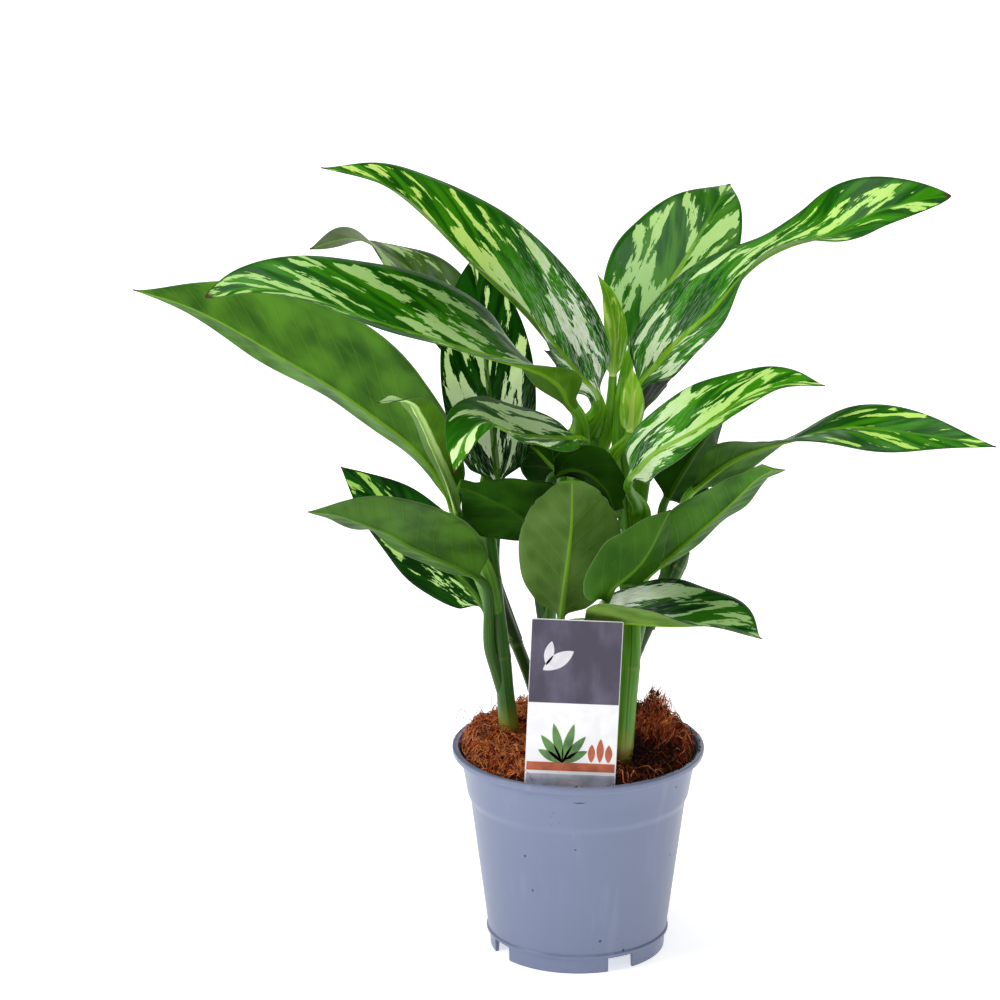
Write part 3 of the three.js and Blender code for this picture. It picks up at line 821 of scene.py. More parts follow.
@dataclass(frozen=True)
class Bark:
    """The bark of a cane, in its tone and paler. A dry sheath's edge runs up it at the angle sheath_side."""

    tone: Colour
    blotch: Colour = paint(112, 130, 34)
    sheath: Colour = paint(34, 66, 8)
    foot: Colour = paint(150, 152, 50)
    soiled: Colour = paint(112, 70, 36)
    scar: Colour = paint(126, 138, 60)
    paler: float = 1.6
    sheath_side: float = 1.35

    def material(self, name: str) -> bpy.types.Material:
        """Makes the bark.

        Args:
            name: the material's name.

        Returns:
            Smooth green bark, yellower at the foot, with fine lines, a sheath's dark edge and paler scars.
        """
        shade = Shade(name)
        along, around, share, scar = shade.surface()
        circle = (shade.math(wave, around) for wave in ("COSINE", "SINE"))
        lines = shade.noise(shade.joined(*circle, shade.scaled(along, 0.12)), scale=3.5, detail=4.0)
        blotches = shade.noise(shade.place(), scale=60.0, detail=3.0)
        winding = shade.total(around, shade.scaled(share, 0.5), self.sheath_side)
        edge = shade.ease(shade.math("COSINE", winding), 0.994, 0.999)
        light = tuple(min(1.0, self.paler * part) for part in self.tone)
        colour = shade.over(self.tone, light, shade.ease(lines, 0.35, 0.65), 0.7)
        layers = (
            (self.blotch, shade.ease(blotches, 0.6, 0.75), 0.35),
            (self.sheath, edge, 0.75),
            (self.foot, shade.ease(along, 1.6, 0.0), 0.7),
            (self.soiled, shade.ease(along, 0.45, 0.0), 0.6),
            (self.scar, scar, 0.25),
        )
        for layer in layers:
            colour = shade.over(colour, *layer)
        shade.colour(colour)
        shade.rough(shade.scaled(lines, 0.2, 0.26))
        shade.living(gloss=0.35, weight=0.1, depth=0.002)
        shade.bump(lines, 0.0004, 0.5)
        return shade.material


@dataclass(frozen=True)
class CaneHabit:
    """Where a cane stands in the soil, the points it grows through, its radii there and its bark."""

    foot: tuple[float, float]
    through: tuple[Point, ...]
    radii: tuple[float, ...]
    bark: Bark = Bark(paint(30, 62, 8))


# Heights of the soil's surface and of the floors of the packed soil's holes, which the canes stand in.
SOIL_LINE = 109.0
SOCKET_FLOOR = 90.3

CANES: dict[str, CaneHabit] = {
    "left": CaneHabit(
        (-33, -1), ((-35, -1, 129), (-37.5, -1, 159), (-40, 1, 183), (-42.5, 5, 208)),
        (4.6, 4.3, 3.8, 3.4, 2.8), Bark(paint(42, 90, 6)),
    ),
    "right": CaneHabit(
        (20, -30), ((22, -29, 134), (24, -24, 162), (24, -15, 190), (23, -11, 222), (20, -6, 250)),
        (5.2, 5, 4.8, 4.6, 4.2, 3.2), Bark(paint(72, 126, 10)),
    ),
    "centre": CaneHabit(
        (-16, 12), ((-15, 12, 134), (-14, 11, 170), (-6, 9, 205), (3, 7, 238), (7, 6, 251)),
        (4.6, 4.4, 4.2, 3.9, 3.5, 3), Bark(paint(64, 116, 10)),
    ),
    "rear_left": CaneHabit(
        (-18, 27), ((-24.5, 24, 130), (-32, 19, 152), (-37, 16, 168), (-41, 17, 183)),
        (3.2, 3, 2.9, 2.8, 2.5),
    ),
    "rear_right": CaneHabit(
        (23, 6), ((26, 8, 138), (33, 10, 156), (45, 14, 180), (51.5, 16, 194)),
        (2.8, 2.7, 2.6, 2.6, 2.4),
    ),
}


def rounds(centres: Array, along: Array, up: Array, radii: Array, angles: Array) -> Array:
    """Round rings about a row of points, square to the way they travel.

    Args:
        centres, along, up: points, unit directions and rough upward directions (rows, 3).
        radii: radii (rows,) or (rows, angles).
        angles: the angles of a ring's points, from the left side over the top.

    Returns:
        Points (rows, angles, 3): centre + radius (cos angle left + sin angle rise).
    """
    left = unit(np.cross(up, along))
    rise = np.cross(along, left)
    radii = radii[:, None] if radii.ndim == 1 else radii
    return (
        centres[:, None]
        + (radii * np.cos(angles))[..., None] * left[:, None]
        + (radii * np.sin(angles))[..., None] * rise[:, None]
    )


@dataclass
class Cane:
    """An upright stem with the ring-shaped scars of fallen leaves and the edge of a dry sheath."""

    name: str
    habit: CaneHabit
    sides: int = 36
    rows: int = 150
    scar_pitch: float = 38.0
    scar_rise: float = 0.22
    scar_width: float = 0.9
    swell: float = 0.03
    unevenness: float = 0.03
    end_rows: int = 6

    def growth(self) -> Growth:
        """The curve of the cane's middle above the soil."""
        return Growth([(*self.habit.foot, SOIL_LINE), *self.habit.through])

    def at_height(self, height: float) -> tuple[Array, float]:
        """The middle and the radius of the cane at a height.

        Args:
            height: the height over the floor.

        Returns:
            The point and the radius.
        """
        growth = self.growth()
        t = np.linspace(0, growth.last, 2000)
        place = float(np.interp(height, growth.at(t)[:, 2], t))
        return growth.at(np.array([place]))[0], float(blend(self.habit.radii, [place / growth.last])[0, 0])

    def build(self) -> bpy.types.Object:
        """Makes the cane.

        Returns:
            The finished piece. Its radius swells by a share of cos(2 pi phase) between the scars and by
            scar_rise at each of them, by a bell of scar_width, and is a little uneven round the stem. The
            last rings close the top like a dome.
        """
        growth = self.growth()
        t = np.linspace(0, growth.last, self.rows)
        centres, along = growth.at(t), growth.direction(t)
        radii = blend(self.habit.radii, t / growth.last)[:, 0]
        root = np.array([[*self.habit.foot, SOCKET_FLOOR]])
        centres = np.vstack([root, centres])
        along = np.vstack([[[0, 0, 1]], along])
        radii = np.concatenate([radii[:1], radii])
        angles = np.linspace(0, 2 * math.pi, self.sides, endpoint=False)
        heights = centres[:, 2] - SOIL_LINE
        seed = sum(map(ord, self.name))
        shift = 4 * lattice(np.stack([heights / 30, np.full_like(heights, seed)], axis=-1), 3)
        phase = ((heights + shift) / self.scar_pitch + 0.5) % 1 - 0.5
        scar = np.exp(-((phase * self.scar_pitch / self.scar_width) ** 2))
        swell = 1 + self.swell * np.cos(2 * math.pi * phase)
        uneven = 1 + self.unevenness * np.sin(3 * angles + 0.06 * heights[:, None])
        spread = (radii * swell + self.scar_rise * scar)[:, None] * uneven
        spread[-self.end_rows :] *= np.sqrt(np.linspace(1, 0.05, self.end_rows))[:, None]
        up = np.broadcast_to([0.0, 1.0, 0.0], centres.shape)
        rings = rounds(centres, along, up, spread, angles)
        lay = np.zeros((*rings.shape[:2], 3))
        lay[..., 0] = heights[:, None] * CENTIMETRES
        lay[..., 1] = angles
        lay[..., 2] = np.clip(heights / heights.max(), 0, 1)[:, None]
        reach = np.broadcast_to(scar[:, None], rings.shape[:2])
        skin = Skin()
        skin.tube(rings, 0, lay, reach)
        piece = skin.shell(f"{self.name}_stem", [self.habit.bark.material(f"{self.name}_bark")])
        return settle(piece, "cane", self.name)


@dataclass
class Leaf:
    """One leaf: a stalk that clasps its cane and opens into a folded, waved and quilted blade.

    clasp is how far below its height the stalk starts inside the cane, taper how thin the stalk is at the
    blade, opens the share of the blade in which the stalk's round rings turn into flat ones, and vein_slant
    and vein_bend how the side veins run out to the margin. The ripple of the left half runs ahead by
    left_shift waves.
    """

    habit: Habit
    cane: Cane
    columns: int = 29
    stalk_rows: int = 26
    blade_rows: int = 112
    root_rows: int = 8
    clasp: float = 24.0
    taper: float = 0.77
    opens: float = 0.085
    thickness: float = 0.5
    edge_thickness: float = 0.22
    droop: float = 0.1
    vein_pitch: float = 11.0
    vein_slant: float = 1.25
    vein_bend: float = 0.006
    groove: float = 0.2
    stalk_texture: float = 3.0
    rib_spread: float = 0.35
    left_shift: float = 0.27
    tear_pitch: float = 34.0
    tear_seed: int = 11

    def outward(self) -> Array:
        """The level direction from the cane to the stalk."""
        side = math.radians(self.habit.side)
        return np.array([math.cos(side), math.sin(side), 0])

    def frame_at(self, growth: Growth, t: Array, share: Array) -> tuple[Array, Array, Array]:
        """The directions of the leaf at places along it.

        Args:
            growth: the blade's curve.
            t: the places along its points.
            share: the same places as shares of its length.

        Returns:
            Unit vectors along it, out of its upper face and to its left.
        """
        along = growth.direction(t)
        face = blend(self.habit.looks, share)
        face = unit(face - (face * along).sum(axis=1, keepdims=True) * along)
        return along, face, np.cross(face, along)

    def outline(self, share: Array) -> Array:
        """How wide the blade is along it.

        Args:
            share: places as shares of its length.

        Returns:
            Widths, 1 near the peak: (s / peak)^rise ((1 - s) / (1 - peak))^fall, a little less at the tip.
        """
        peak = self.habit.peak
        rise, fall = self.habit.fullness * peak, self.habit.fullness * (1 - peak)
        return (share / peak) ** rise * ((1 - share) / (1 - peak)) ** fall * (1 - 0.35 * share**8)

    def stalk(self, growth: Growth, angles: Array) -> tuple[Array, Array]:
        """The stalk's rings, from inside the cane to the base of the blade.

        Args:
            growth: the blade's curve.
            angles: the angles of a ring's points.

        Returns:
            Rings (rows, sides, 3) and their places on the surface. The stalk follows Hermite's cubic from the
            cane's side, where it rises with the cane, to the blade's first point and direction. A ring has
            a shallow groove above, and near the cane it is wider than it is high, as a sheath is.
        """
        habit = self.habit
        thick = habit.stalk_radius
        middle, radius = self.cane.at_height(habit.height - self.clasp)
        below = np.array([middle[0], middle[1], habit.height - self.clasp])
        middle, _ = self.cane.at_height(habit.height)
        beside = np.array([middle[0], middle[1], habit.height])
        start = beside + self.outward() * (radius + 0.4 * thick)
        end, leave = growth.at(np.array([0.0]))[0], growth.direction(np.array([0.0]))[0]
        stretch = np.linalg.norm(end - start)
        rise = unit(beside - below + 0.3 * self.clasp * self.outward()) * stretch
        t = np.linspace(0, 1, self.stalk_rows)[:, None]
        free = (
            (2 * t**3 - 3 * t**2 + 1) * start + (t**3 - 2 * t**2 + t) * rise
            + (3 * t**2 - 2 * t**3) * end + (t**3 - t**2) * leave * stretch
        )
        steps = np.linspace(0, 1, self.root_rows, endpoint=False)[:, None]
        sunk = below + (start - below) * steps**1.3
        centres = np.vstack([sunk, free])
        share = np.concatenate([np.zeros(self.root_rows), t[:, 0]])
        along = unit(np.gradient(centres, axis=0))
        face = np.repeat(blend(habit.looks, [0.0]), len(centres), axis=0)
        face = unit(face - (face * along).sum(axis=1, keepdims=True) * along)
        radii = thick * (1 + (self.taper - 1) * share)
        groove = 1 - self.groove * np.exp(-(((angles - math.pi / 2) / 0.5) ** 2))
        rings = rounds(centres, along, face, radii[:, None] * groove, angles)
        left = unit(np.cross(face, along))
        wings = habit.sheath * (1 - ease(0.0, 0.95, share))
        sideways = ((rings - centres[:, None]) * left[:, None]).sum(axis=-1)
        rings = rings + (sideways * wings[:, None])[..., None] * left[:, None]
        lay = np.zeros((*rings.shape[:2], 3))
        lay[..., 0] = np.linspace(0, self.stalk_texture, len(rings))[:, None]
        lay[..., 1] = angles
        lay[..., 2] = share[:, None]
        return rings, lay

    def blade(self, growth: Growth, angles: Array) -> tuple[Array, Array, Array]:
        """The blade's rings, each over its upper face from left to right and back below.

        Args:
            growth: the blade's curve.
            angles: the angles of a round ring's points.

        Returns:
            Rings (rows, sides, 3), their places on the surface and their reaches. A point is
            width a cos(fold) to the left and width (sin(fold) r - droop r^2) up, plus a ripple r^2 and the
            quilting between the side veins. a goes from 1 to -1 across the blade, and r is how far it is
            from the midrib, which lies at a = lean sin(pi s)^0.7, to the margin on its side.
        """
        habit = self.habit
        share = np.linspace(0, 1, self.blade_rows + 1)[1:]
        share = share - 0.04 * np.sin(2 * math.pi * share) / 2
        t, length = growth.spaced(0, share)
        along, face, left = self.frame_at(growth, t, share)
        centres = growth.at(t)
        count = np.linspace(1, -1, self.columns)
        count = np.concatenate([count, count[::-1]])
        upper = np.arange(2 * self.columns) < self.columns
        s = share[:, None]
        reach = np.abs(count) ** 1.25 + 0 * s
        midrib = habit.lean * np.sin(math.pi * s) ** 0.7
        across = midrib + np.sign(count) * reach * (1 - np.sign(count) * midrib)
        width = np.maximum(habit.tip, habit.half * self.outline(share))[:, None]
        torn_places = np.stack([self.tear_pitch * s + 0 * count, np.sign(count) + 0 * s], axis=-1)
        tears = lattice(torn_places, self.tear_seed)
        width = width * (1 - habit.torn * ease(0.55, 0.95, s) * np.maximum(0, tears))
        fold = np.radians(blend(habit.fold, share))
        crease = np.sqrt(reach**2 + 0.04**2) - 0.04
        phase = habit.waves * s + np.where(count > 0, self.left_shift, 0)
        ripple = habit.wave * reach**2 * np.sin(2 * math.pi * phase) * np.sin(math.pi * s)
        out = width * np.abs(across - midrib)
        veins = (length * s - self.vein_slant * out + self.vein_bend * out**2) / self.vein_pitch
        quilt = habit.quilt * 4 * reach * (1 - reach) * np.cos(2 * math.pi * veins)
        lift = width * (np.sin(fold) * crease - self.droop * reach**2) + ripple
        lift = lift + quilt * ease(0, 6, width)
        half = (self.edge_thickness + (self.thickness - self.edge_thickness) * (1 - reach**2)) / 2
        neck = self.taper * habit.stalk_radius
        rib_height = neck * (1 - s) * (1 - 0.3 * s)
        rib = rib_height * np.exp(-((out / (0.5 * neck * (1 - s) + self.rib_spread)) ** 2))
        over = half - 0.22 * rib
        lift = lift + np.where(upper, over, -half - rib)
        flat = (
            centres[:, None]
            + (width * across * np.cos(fold))[..., None] * left[:, None]
            + lift[..., None] * face[:, None]
        )
        tube = rounds(centres, along, face, neck * (1 - 0.5 * share), angles)
        opened = ease(0, 1, np.clip(share / self.opens, 0, 1))[:, None, None]
        lay = np.zeros((*flat.shape[:2], 3))
        lay[..., 0] = (length * s) * CENTIMETRES
        lay[..., 1] = width * (across - midrib) * CENTIMETRES
        lay[..., 2] = s
        return tube + (flat - tube) * opened, lay, reach

    def build(self) -> bpy.types.Object:
        """Makes the leaf.

        Returns:
            The finished piece.
        """
        habit = self.habit
        growth = Growth(habit.midrib)
        sides = 2 * self.columns
        angles = (np.arange(sides) + 0.5) / sides * 2 * math.pi
        stalk, stalk_lay = self.stalk(growth, angles)
        blade, blade_lay, blade_reach = self.blade(growth, angles)
        rings = np.concatenate([stalk, blade])
        lay = np.concatenate([stalk_lay, blade_lay])
        reach = np.concatenate([np.zeros(stalk.shape[:2]), blade_reach])
        finish = np.full((len(rings) - 1, sides), LeafFace.BELOW.value)
        finish[:, : self.columns - 1] = LeafFace.UPPER.value
        finish[: len(stalk)] = LeafFace.PETIOLE.value
        skin = Skin()
        skin.tube(rings, finish, lay, reach)
        coat = habit.coat
        piece = skin.shell(
            f"{habit.name}_blade",
            [coat.upper(f"{habit.name}_upper"), coat.below(f"{habit.name}_below"),
             coat.petiole(f"{habit.name}_stalk")],
        )
        slot = "shoot" if habit.wave == 0 else "leaf"
        return settle(piece, slot, habit.name)


GREEN_TIP = paint(84, 132, 30)

FRESH = LeafCoat()
GREYED = replace(FRESH, pale=paint(160, 198, 124), pale_grey=paint(180, 208, 156), fresh=paint(44, 104, 14),
                 under=paint(72, 108, 34), under_light=paint(104, 138, 58))
# SHADED and DIM are the leaf finish darkened for leaves deep in the plant's shade: painted shade, DIM the
# deeper.
SHADED = replace(FRESH, deep=paint(8, 42, 4), fresh=paint(20, 76, 6), pale=paint(150, 194, 86),
                 under=paint(16, 46, 2), under_light=paint(32, 72, 6), rib=paint(62, 104, 16),
                 margin=paint(52, 70, 34), gloss=0.03, stem=paint(44, 92, 8), stem_light=paint(76, 130, 22))
DIM = replace(SHADED, under=paint(8, 26, 4), under_light=paint(18, 44, 6))
YOUNG = replace(FRESH, deep=paint(120, 176, 40), fresh=paint(150, 200, 60), pale=paint(206, 230, 120),
                under=paint(140, 190, 60), under_light=paint(170, 212, 84), rib=paint(196, 220, 110),
                margin=paint(160, 180, 90), tip=paint(150, 170, 70))

HABITS: tuple[Habit, ...] = (
    Habit(
        "leaf_top_arch", "centre", 246, 150,
        midrib=((8, 2, 270.8), (-0.6, -3, 291.7), (-10.9, -10, 311), (-24.4, -20, 330.9),
            (-46.4, -34, 354.5), (-68.5, -45, 375.6), (-91.1, -57, 392.1), (-117.1, -68, 399.9)),
        looks=((0.4, -0.8, 0.5), (0.5, -0.6, 0.7), (0.4, -0.5, 0.8), (0.2, -0.3, 0.9)),
        half=25, fold=(24,), peak=0.36, lean=0.6, sheath=1.25, stalk_radius=4.3,
        coat=replace(FRESH, seed=1.3, silver_and_sheen=0.9, cover=0.01, pale=paint(196, 228, 112)),
    ),
    Habit(
        "leaf_left_arch", "centre", 238, 190,
        midrib=((-2.9, -12, 271.6), (-14.7, -24, 288.1), (-35.5, -38, 306.9), (-64.1, -50, 323.1),
            (-92.3, -62, 335.3), (-122.5, -73, 346.3), (-148.8, -84, 350.2), (-168.3, -94, 346.9)),
        looks=((0.2, 0.9, 0.3), (0.1, -0.4, 0.9), (0.2, -0.5, 0.9), (0, -0.3, 1)),
        half=23, fold=(20,), peak=0.45, fullness=1, lean=0.6, sheath=1.1, stalk_radius=3.8,
        coat=replace(FRESH, seed=2.9, silver_and_sheen=0.25, cover=0.005, pale=paint(172, 212, 126)),
    ),
    Habit(
        "leaf_far_left", "left", 178, 180,
        midrib=((-58.9, 2, 215.9), (-64.1, 5, 231.2), (-74.4, 9, 246.7), (-88.5, 13, 260.2),
            (-114.7, 18, 280.3), (-149.6, 27, 297.2), (-180.6, 37, 307.2), (-210.8, 46, 312.5)),
        looks=((0.6, 0.7, 0.5), (0.55, 0.8, 0.45), (0.45, 0.85, 0.35), (0.3, 0.8, 0.5)),
        half=33, fold=(22,), peak=0.42, fullness=1.9,
        lean=-0.35, coat=replace(FRESH, seed=4.1, under=paint(40, 84, 6), under_light=paint(78, 128, 26)),
    ),
    Habit(
        "leaf_left_bent", "left", 186, 240,
        midrib=((-57, -11, 220.5), (-62, -17, 238), (-68, -25, 255), (-74, -33, 272), (-80, -44, 284),
            (-93, -61, 288.5)),
        looks=((0.25, 0.95, 0.1), (0.3, 0.9, 0.4), (0.1, 0.3, 0.9), (0.1, 0, 1)),
        half=12.5, fold=(50, 42, 10),
        coat=replace(FRESH, seed=5.7, cover=0.02, band=0.4, pale=paint(206, 240, 150)),
    ),
    Habit(
        "leaf_rear_left_curled", "rear_left", 172, 160,
        midrib=((-45.9, 50, 267), (-63.1, 64.9, 298.5), (-85.1, 74.6, 318.1), (-107.2, 82.8, 328.3),
            (-128.5, 86, 322)),
        looks=((0.2, -0.6, 0.8), (0.2, -0.6, 0.8), (0.3, 0, 0.9), (0.2, 0.9, 0.2)),
        half=18.5, coat=replace(
            GREYED, seed=6.2, cover=0.02, under=paint(86, 104, 66), under_light=paint(118, 132, 98),
            deep=paint(34, 62, 16), fresh=paint(58, 92, 26), pale=paint(140, 176, 92),
            pale_grey=paint(146, 176, 112),
        ),
    ),
    Habit(
        "leaf_rear_upright", "rear_left", 170, 100,
        midrib=((-38.2, 27, 221.8), (-42, 35.9, 260.3), (-45.8, 46.7, 295.6), (-50.1, 58, 324)),
        looks=((0, -0.9, 0.5), (0, -0.9, 0.5), (0, -0.8, 0.6)),
        half=23, fold=(14,), peak=0.46, fullness=1.1, coat=replace(
            # The SHADED ground is painted shade, and the pale pattern is brighter than usual: painted light
            # against that shade.
            SHADED, seed=7.7, silver_and_sheen=0.4, cover=0.04, pale=paint(202, 232, 146),
            pale_grey=paint(224, 242, 200),
        ),
    ),
    Habit(
        "leaf_right_upright", "right", 242, 80,
        midrib=((24.6, 18, 290), (35.6, 33.6, 313), (50.3, 55.8, 331.9), (64.3, 77.4, 345.9),
            (73.1, 96, 351.6)),
        looks=((-0.2, -0.9, 0.5), (-0.2, -0.8, 0.6), (-0.1, -0.7, 0.7)),
        half=29, fold=(12,), lean=-0.15, sheath=1.1, stalk_radius=3.4, coat=replace(
            GREYED, seed=8.4, cover=0.01, fresh=paint(58, 118, 16), pale=paint(166, 204, 120),
            pale_grey=paint(150, 190, 118),
        ),
    ),
    Habit(
        "leaf_right_arch", "right", 236, 20,
        midrib=((26.5, -4, 277.9), (40.7, -2.5, 301.2), (58.2, -1, 319.5), (76.1, 1, 336.3),
            (94.6, 4, 346.5), (113.3, 8, 352.6), (132.4, 13, 360.9), (152.2, 18, 363.9),
            (172.7, 24, 363.8)),
        looks=((0, -0.6, 0.8), (-0.1, -0.45, 0.9), (-0.3, 0.1, 1), (-0.1, -0.5, 0.9),
            (0, -0.8, 0.7)),
        half=24.5, peak=0.44, fullness=1.15, lean=-0.4, sheath=1.1, stalk_radius=3,
        coat=replace(FRESH, seed=9.8, silver_and_sheen=0.4, pale=paint(186, 228, 118)),
    ),
    Habit(
        "leaf_right_middle", "right", 218, 330,
        midrib=((22.9, -30, 242.2), (33, -40.2, 260.3), (50.4, -50.3, 275.3), (72.1, -61.5, 291.9),
            (91.3, -71.4, 301), (108.7, -82, 302.7)),
        looks=((0, -0.7, 0.7), (0, -0.5, 0.9), (0, -0.2, 1)),
        half=20, lean=-0.3, sheath=1.0,
        coat=replace(FRESH, seed=11.1, silver_and_sheen=0.35, cover=0.03, pale=paint(176, 216, 112)),
    ),
    Habit(
        "leaf_far_right_twisted", "rear_right", 184, 80,
        midrib=((54, 18, 222.2), (75.6, 10.3, 241.4), (100.2, -1.1, 253.2), (124.9, -13.4, 262.3),
            (156.8, -26.4, 262.8), (190.7, -40, 261.2)),
        looks=((0.1, 1, 0.2), (0, 0.2, 0.95), (0, -0.5, 0.85), (0, -0.4, 0.9)),
        half=19, fold=(12,),
        coat=replace(FRESH, seed=12.6, under=paint(34, 72, 14), under_light=paint(70, 114, 30)),
    ),
    Habit(
        "leaf_rear_right_short", "rear_right", 180, 150,
        midrib=((41.8, 34, 212.2), (54.1, 48.2, 228.7), (64.7, 65.3, 238), (72.1, 84, 243.5)),
        looks=((-0.3, 1, 0.1), (-0.3, 1, 0.2)),
        half=21, fold=(12,), fullness=1.1, coat=replace(SHADED, seed=13.9),
    ),
    Habit(
        "leaf_right_lower", "right", 172, 30,
        midrib=((31.2, -13, 189.2), (48.6, -30.3, 215), (63.5, -46.6, 234.8), (78, -62.9, 252.5),
            (86.9, -74, 261.1)),
        looks=((-0.5, 0.8, 0.35), (-0.4, 0.8, 0.4), (-0.2, 0.8, 0.5)),
        half=18.5, tip=7, lean=0.3, coat=replace(
            FRESH, seed=14.5, under=paint(36, 80, 6), under_light=paint(66, 118, 20), tip=GREEN_TIP,
        ),
    ),
    Habit(
        "leaf_right_narrow", "right", 194, 240,
        midrib=((12, -48, 190), (14, -55, 200), (27, -57, 216), (41, -53, 235)),
        looks=((-0.5, 0.9, 0.1),),
        half=17, lean=0.3, coat=replace(
            FRESH, seed=15.2, under=paint(44, 88, 14), under_light=paint(66, 112, 24),
            rib=paint(98, 148, 34),
        ),
    ),
    Habit(
        "leaf_front_round", "centre", 136, 280,
        midrib=((-8.6, -17, 171.2), (-6.6, -31, 195.2), (-4.5, -41, 219.9), (-4.1, -43.5, 233.8),
            (-4.2, -43, 246.2)),
        looks=((0, 1, -0.3), (0, 1, -0.1), (0, 1, 0.1)),
        half=24, fold=(8,), peak=0.6, fullness=0.9, torn=0.09, coat=replace(
            GREYED, seed=16.8, under=paint(66, 100, 28), under_light=paint(92, 124, 56), tip=GREEN_TIP,
        ),
    ),
    Habit(
        "leaf_front_left_dark", "centre", 176, 200,
        midrib=((-16, -2, 205), (-28, -14, 220), (-40.5, -26, 231), (-51, -33, 238), (-57, -33, 240)),
        looks=((0.2, 1, 0.1), (0.2, 1, 0.2), (0.1, 0.8, 0.6)),
        half=24, fold=(10,), tip=6, coat=replace(
            SHADED, seed=17.3, under=paint(26, 64, 6), under_light=paint(48, 96, 16), tip=GREEN_TIP,
        ),
    ),
    Habit(
        "leaf_centre_dark", "centre", 200, 300,
        midrib=((-11, -8, 238), (-4, -13, 242), (4, -19, 241.5), (12, -25, 235.5), (16, -27, 226)),
        looks=((-0.2, 0.9, 0.3), (-0.1, 0.9, 0.3), (0.2, 0.8, 0.4)),
        half=15, peak=0.5, tip=5, sheath=0.9, coat=replace(SHADED, seed=18.9),
    ),
    Habit(
        "leaf_centre_strip", "centre", 196, 130,
        midrib=((-1.8, 20, 222.1), (-11.2, 25.8, 230.2), (-20.7, 32.4, 238.1), (-31.1, 39, 244)),
        looks=((0.4, 0.9, 0),),
        half=18, fullness=1, sheath=0.8, coat=replace(SHADED, seed=19.4, rib=paint(122, 172, 28)),
    ),
    Habit(
        "leaf_left_nodding", "centre", 228, 220,
        midrib=((0, -11, 256), (-15, -25, 263), (-32, -41, 271), (-46, -56, 279.5), (-53.5, -69, 276),
            (-58, -79, 261)),
        looks=((0, -0.5, 0.9), (0, -0.5, 0.9), (-0.1, -0.5, 0.9), (-0.4, -0.8, 0.4)),
        half=18.5, fold=(14,), lean=0.3, sheath=1.1, coat=replace(
            # The ground and the pale pattern are brighter than usual: painted light, making up for the shade
            # this leaf lies in.
            FRESH, seed=20.7, silver_and_sheen=0.1, cover=0.045, gloss=0.02, deep=paint(30, 92, 12),
            fresh=paint(66, 132, 20), pale=paint(214, 242, 170), pale_grey=paint(220, 244, 190),
        ),
    ),
    Habit(
        "leaf_low_left", "left", 146, 215,
        midrib=((-47.1, -10, 187.2), (-59.2, -20.2, 201.4), (-71.6, -32.3, 213.7), (-84.7, -45.5, 225.8),
            (-106.3, -61.4, 236.2), (-124.5, -76, 241.3)),
        looks=((0.2, 0.9, 0.3), (0.25, 0.8, 0.45), (0.3, 0.85, 0.4)),
        half=23, lean=-0.5, sheath=0.15, coat=replace(
            FRESH, seed=21.5, under=paint(38, 74, 6), under_light=paint(64, 108, 18),
            rib=paint(84, 134, 22), stem=paint(36, 80, 6), stem_light=paint(60, 112, 14),
        ),
    ),
    Habit(
        "leaf_low_left_rear", "left", 152, 140,
        midrib=((-44.9, 9, 167.3), (-61.1, 22.2, 182.4), (-85.1, 38.1, 201.8), (-113.4, 49, 224)),
        looks=((-0.4, -0.9, 0.1),),
        half=20, fold=(10,), coat=replace(SHADED, seed=22.2, cover=-0.03),
    ),
    Habit(
        "leaf_low_right", "centre", 126, 320,
        midrib=((0, -36, 174.8), (18.9, -43.2, 177.7), (40.9, -51.1, 178.5), (64.4, -63.5, 182.3),
            (82.3, -82, 182.4)),
        looks=((0, 0.1, 1), (0, 0, 1), (0.3, -0.3, 0.9)),
        half=30, fold=(46, 34, 15), fullness=1.9,
        sheath=0.3, coat=replace(GREYED, seed=24.6, silver_and_sheen=0.9, cover=0.05, deep=paint(10, 52, 22)),
    ),
    Habit(
        "leaf_rear_right_dark", "right", 226, 70,
        midrib=((25.9, 22, 254.6), (30.6, 37.3, 256.9), (36.8, 55, 256.6), (41.2, 72, 255.6)),
        looks=((-0.3, 0.9, 0.2), (-0.3, 0.8, 0.5)),
        half=17, tip=4, coat=replace(DIM, seed=26.3),
    ),
    Habit(
        "leaf_rear_centre_dark", "centre", 236, 60,
        midrib=((-3, 26, 264), (-6.9, 42.2, 269.2), (-9.8, 61.3, 270.6), (-11.7, 80, 269.6)),
        looks=((0.3, 0.9, 0.2), (0.3, 0.8, 0.5)),
        half=13, tip=4, coat=replace(DIM, seed=27.8),
    ),
    Habit(
        "leaf_new_shoot", "right", 244, 200,
        midrib=((23, -12, 260), (24, -13, 273), (24, -12, 291)),
        looks=((0, -0.9, 0.4),),
        half=7, fold=(35,), peak=0.4, wave=0, stalk_radius=2.4, sheath=0.6, coat=replace(YOUNG, seed=28.4),
    ),
    Habit(
        "leaf_rolled_spear", "centre", 244, 30,
        midrib=((15.5, 11, 280), (16.5, 12.5, 300), (13.5, 12.5, 317), (8, 10, 330)),
        looks=((0, -0.9, 0.4),),
        half=11, fold=(60,), peak=0.4, wave=0, stalk_radius=2.6, sheath=0.6, coat=replace(YOUNG, seed=29.9),
    ),
)


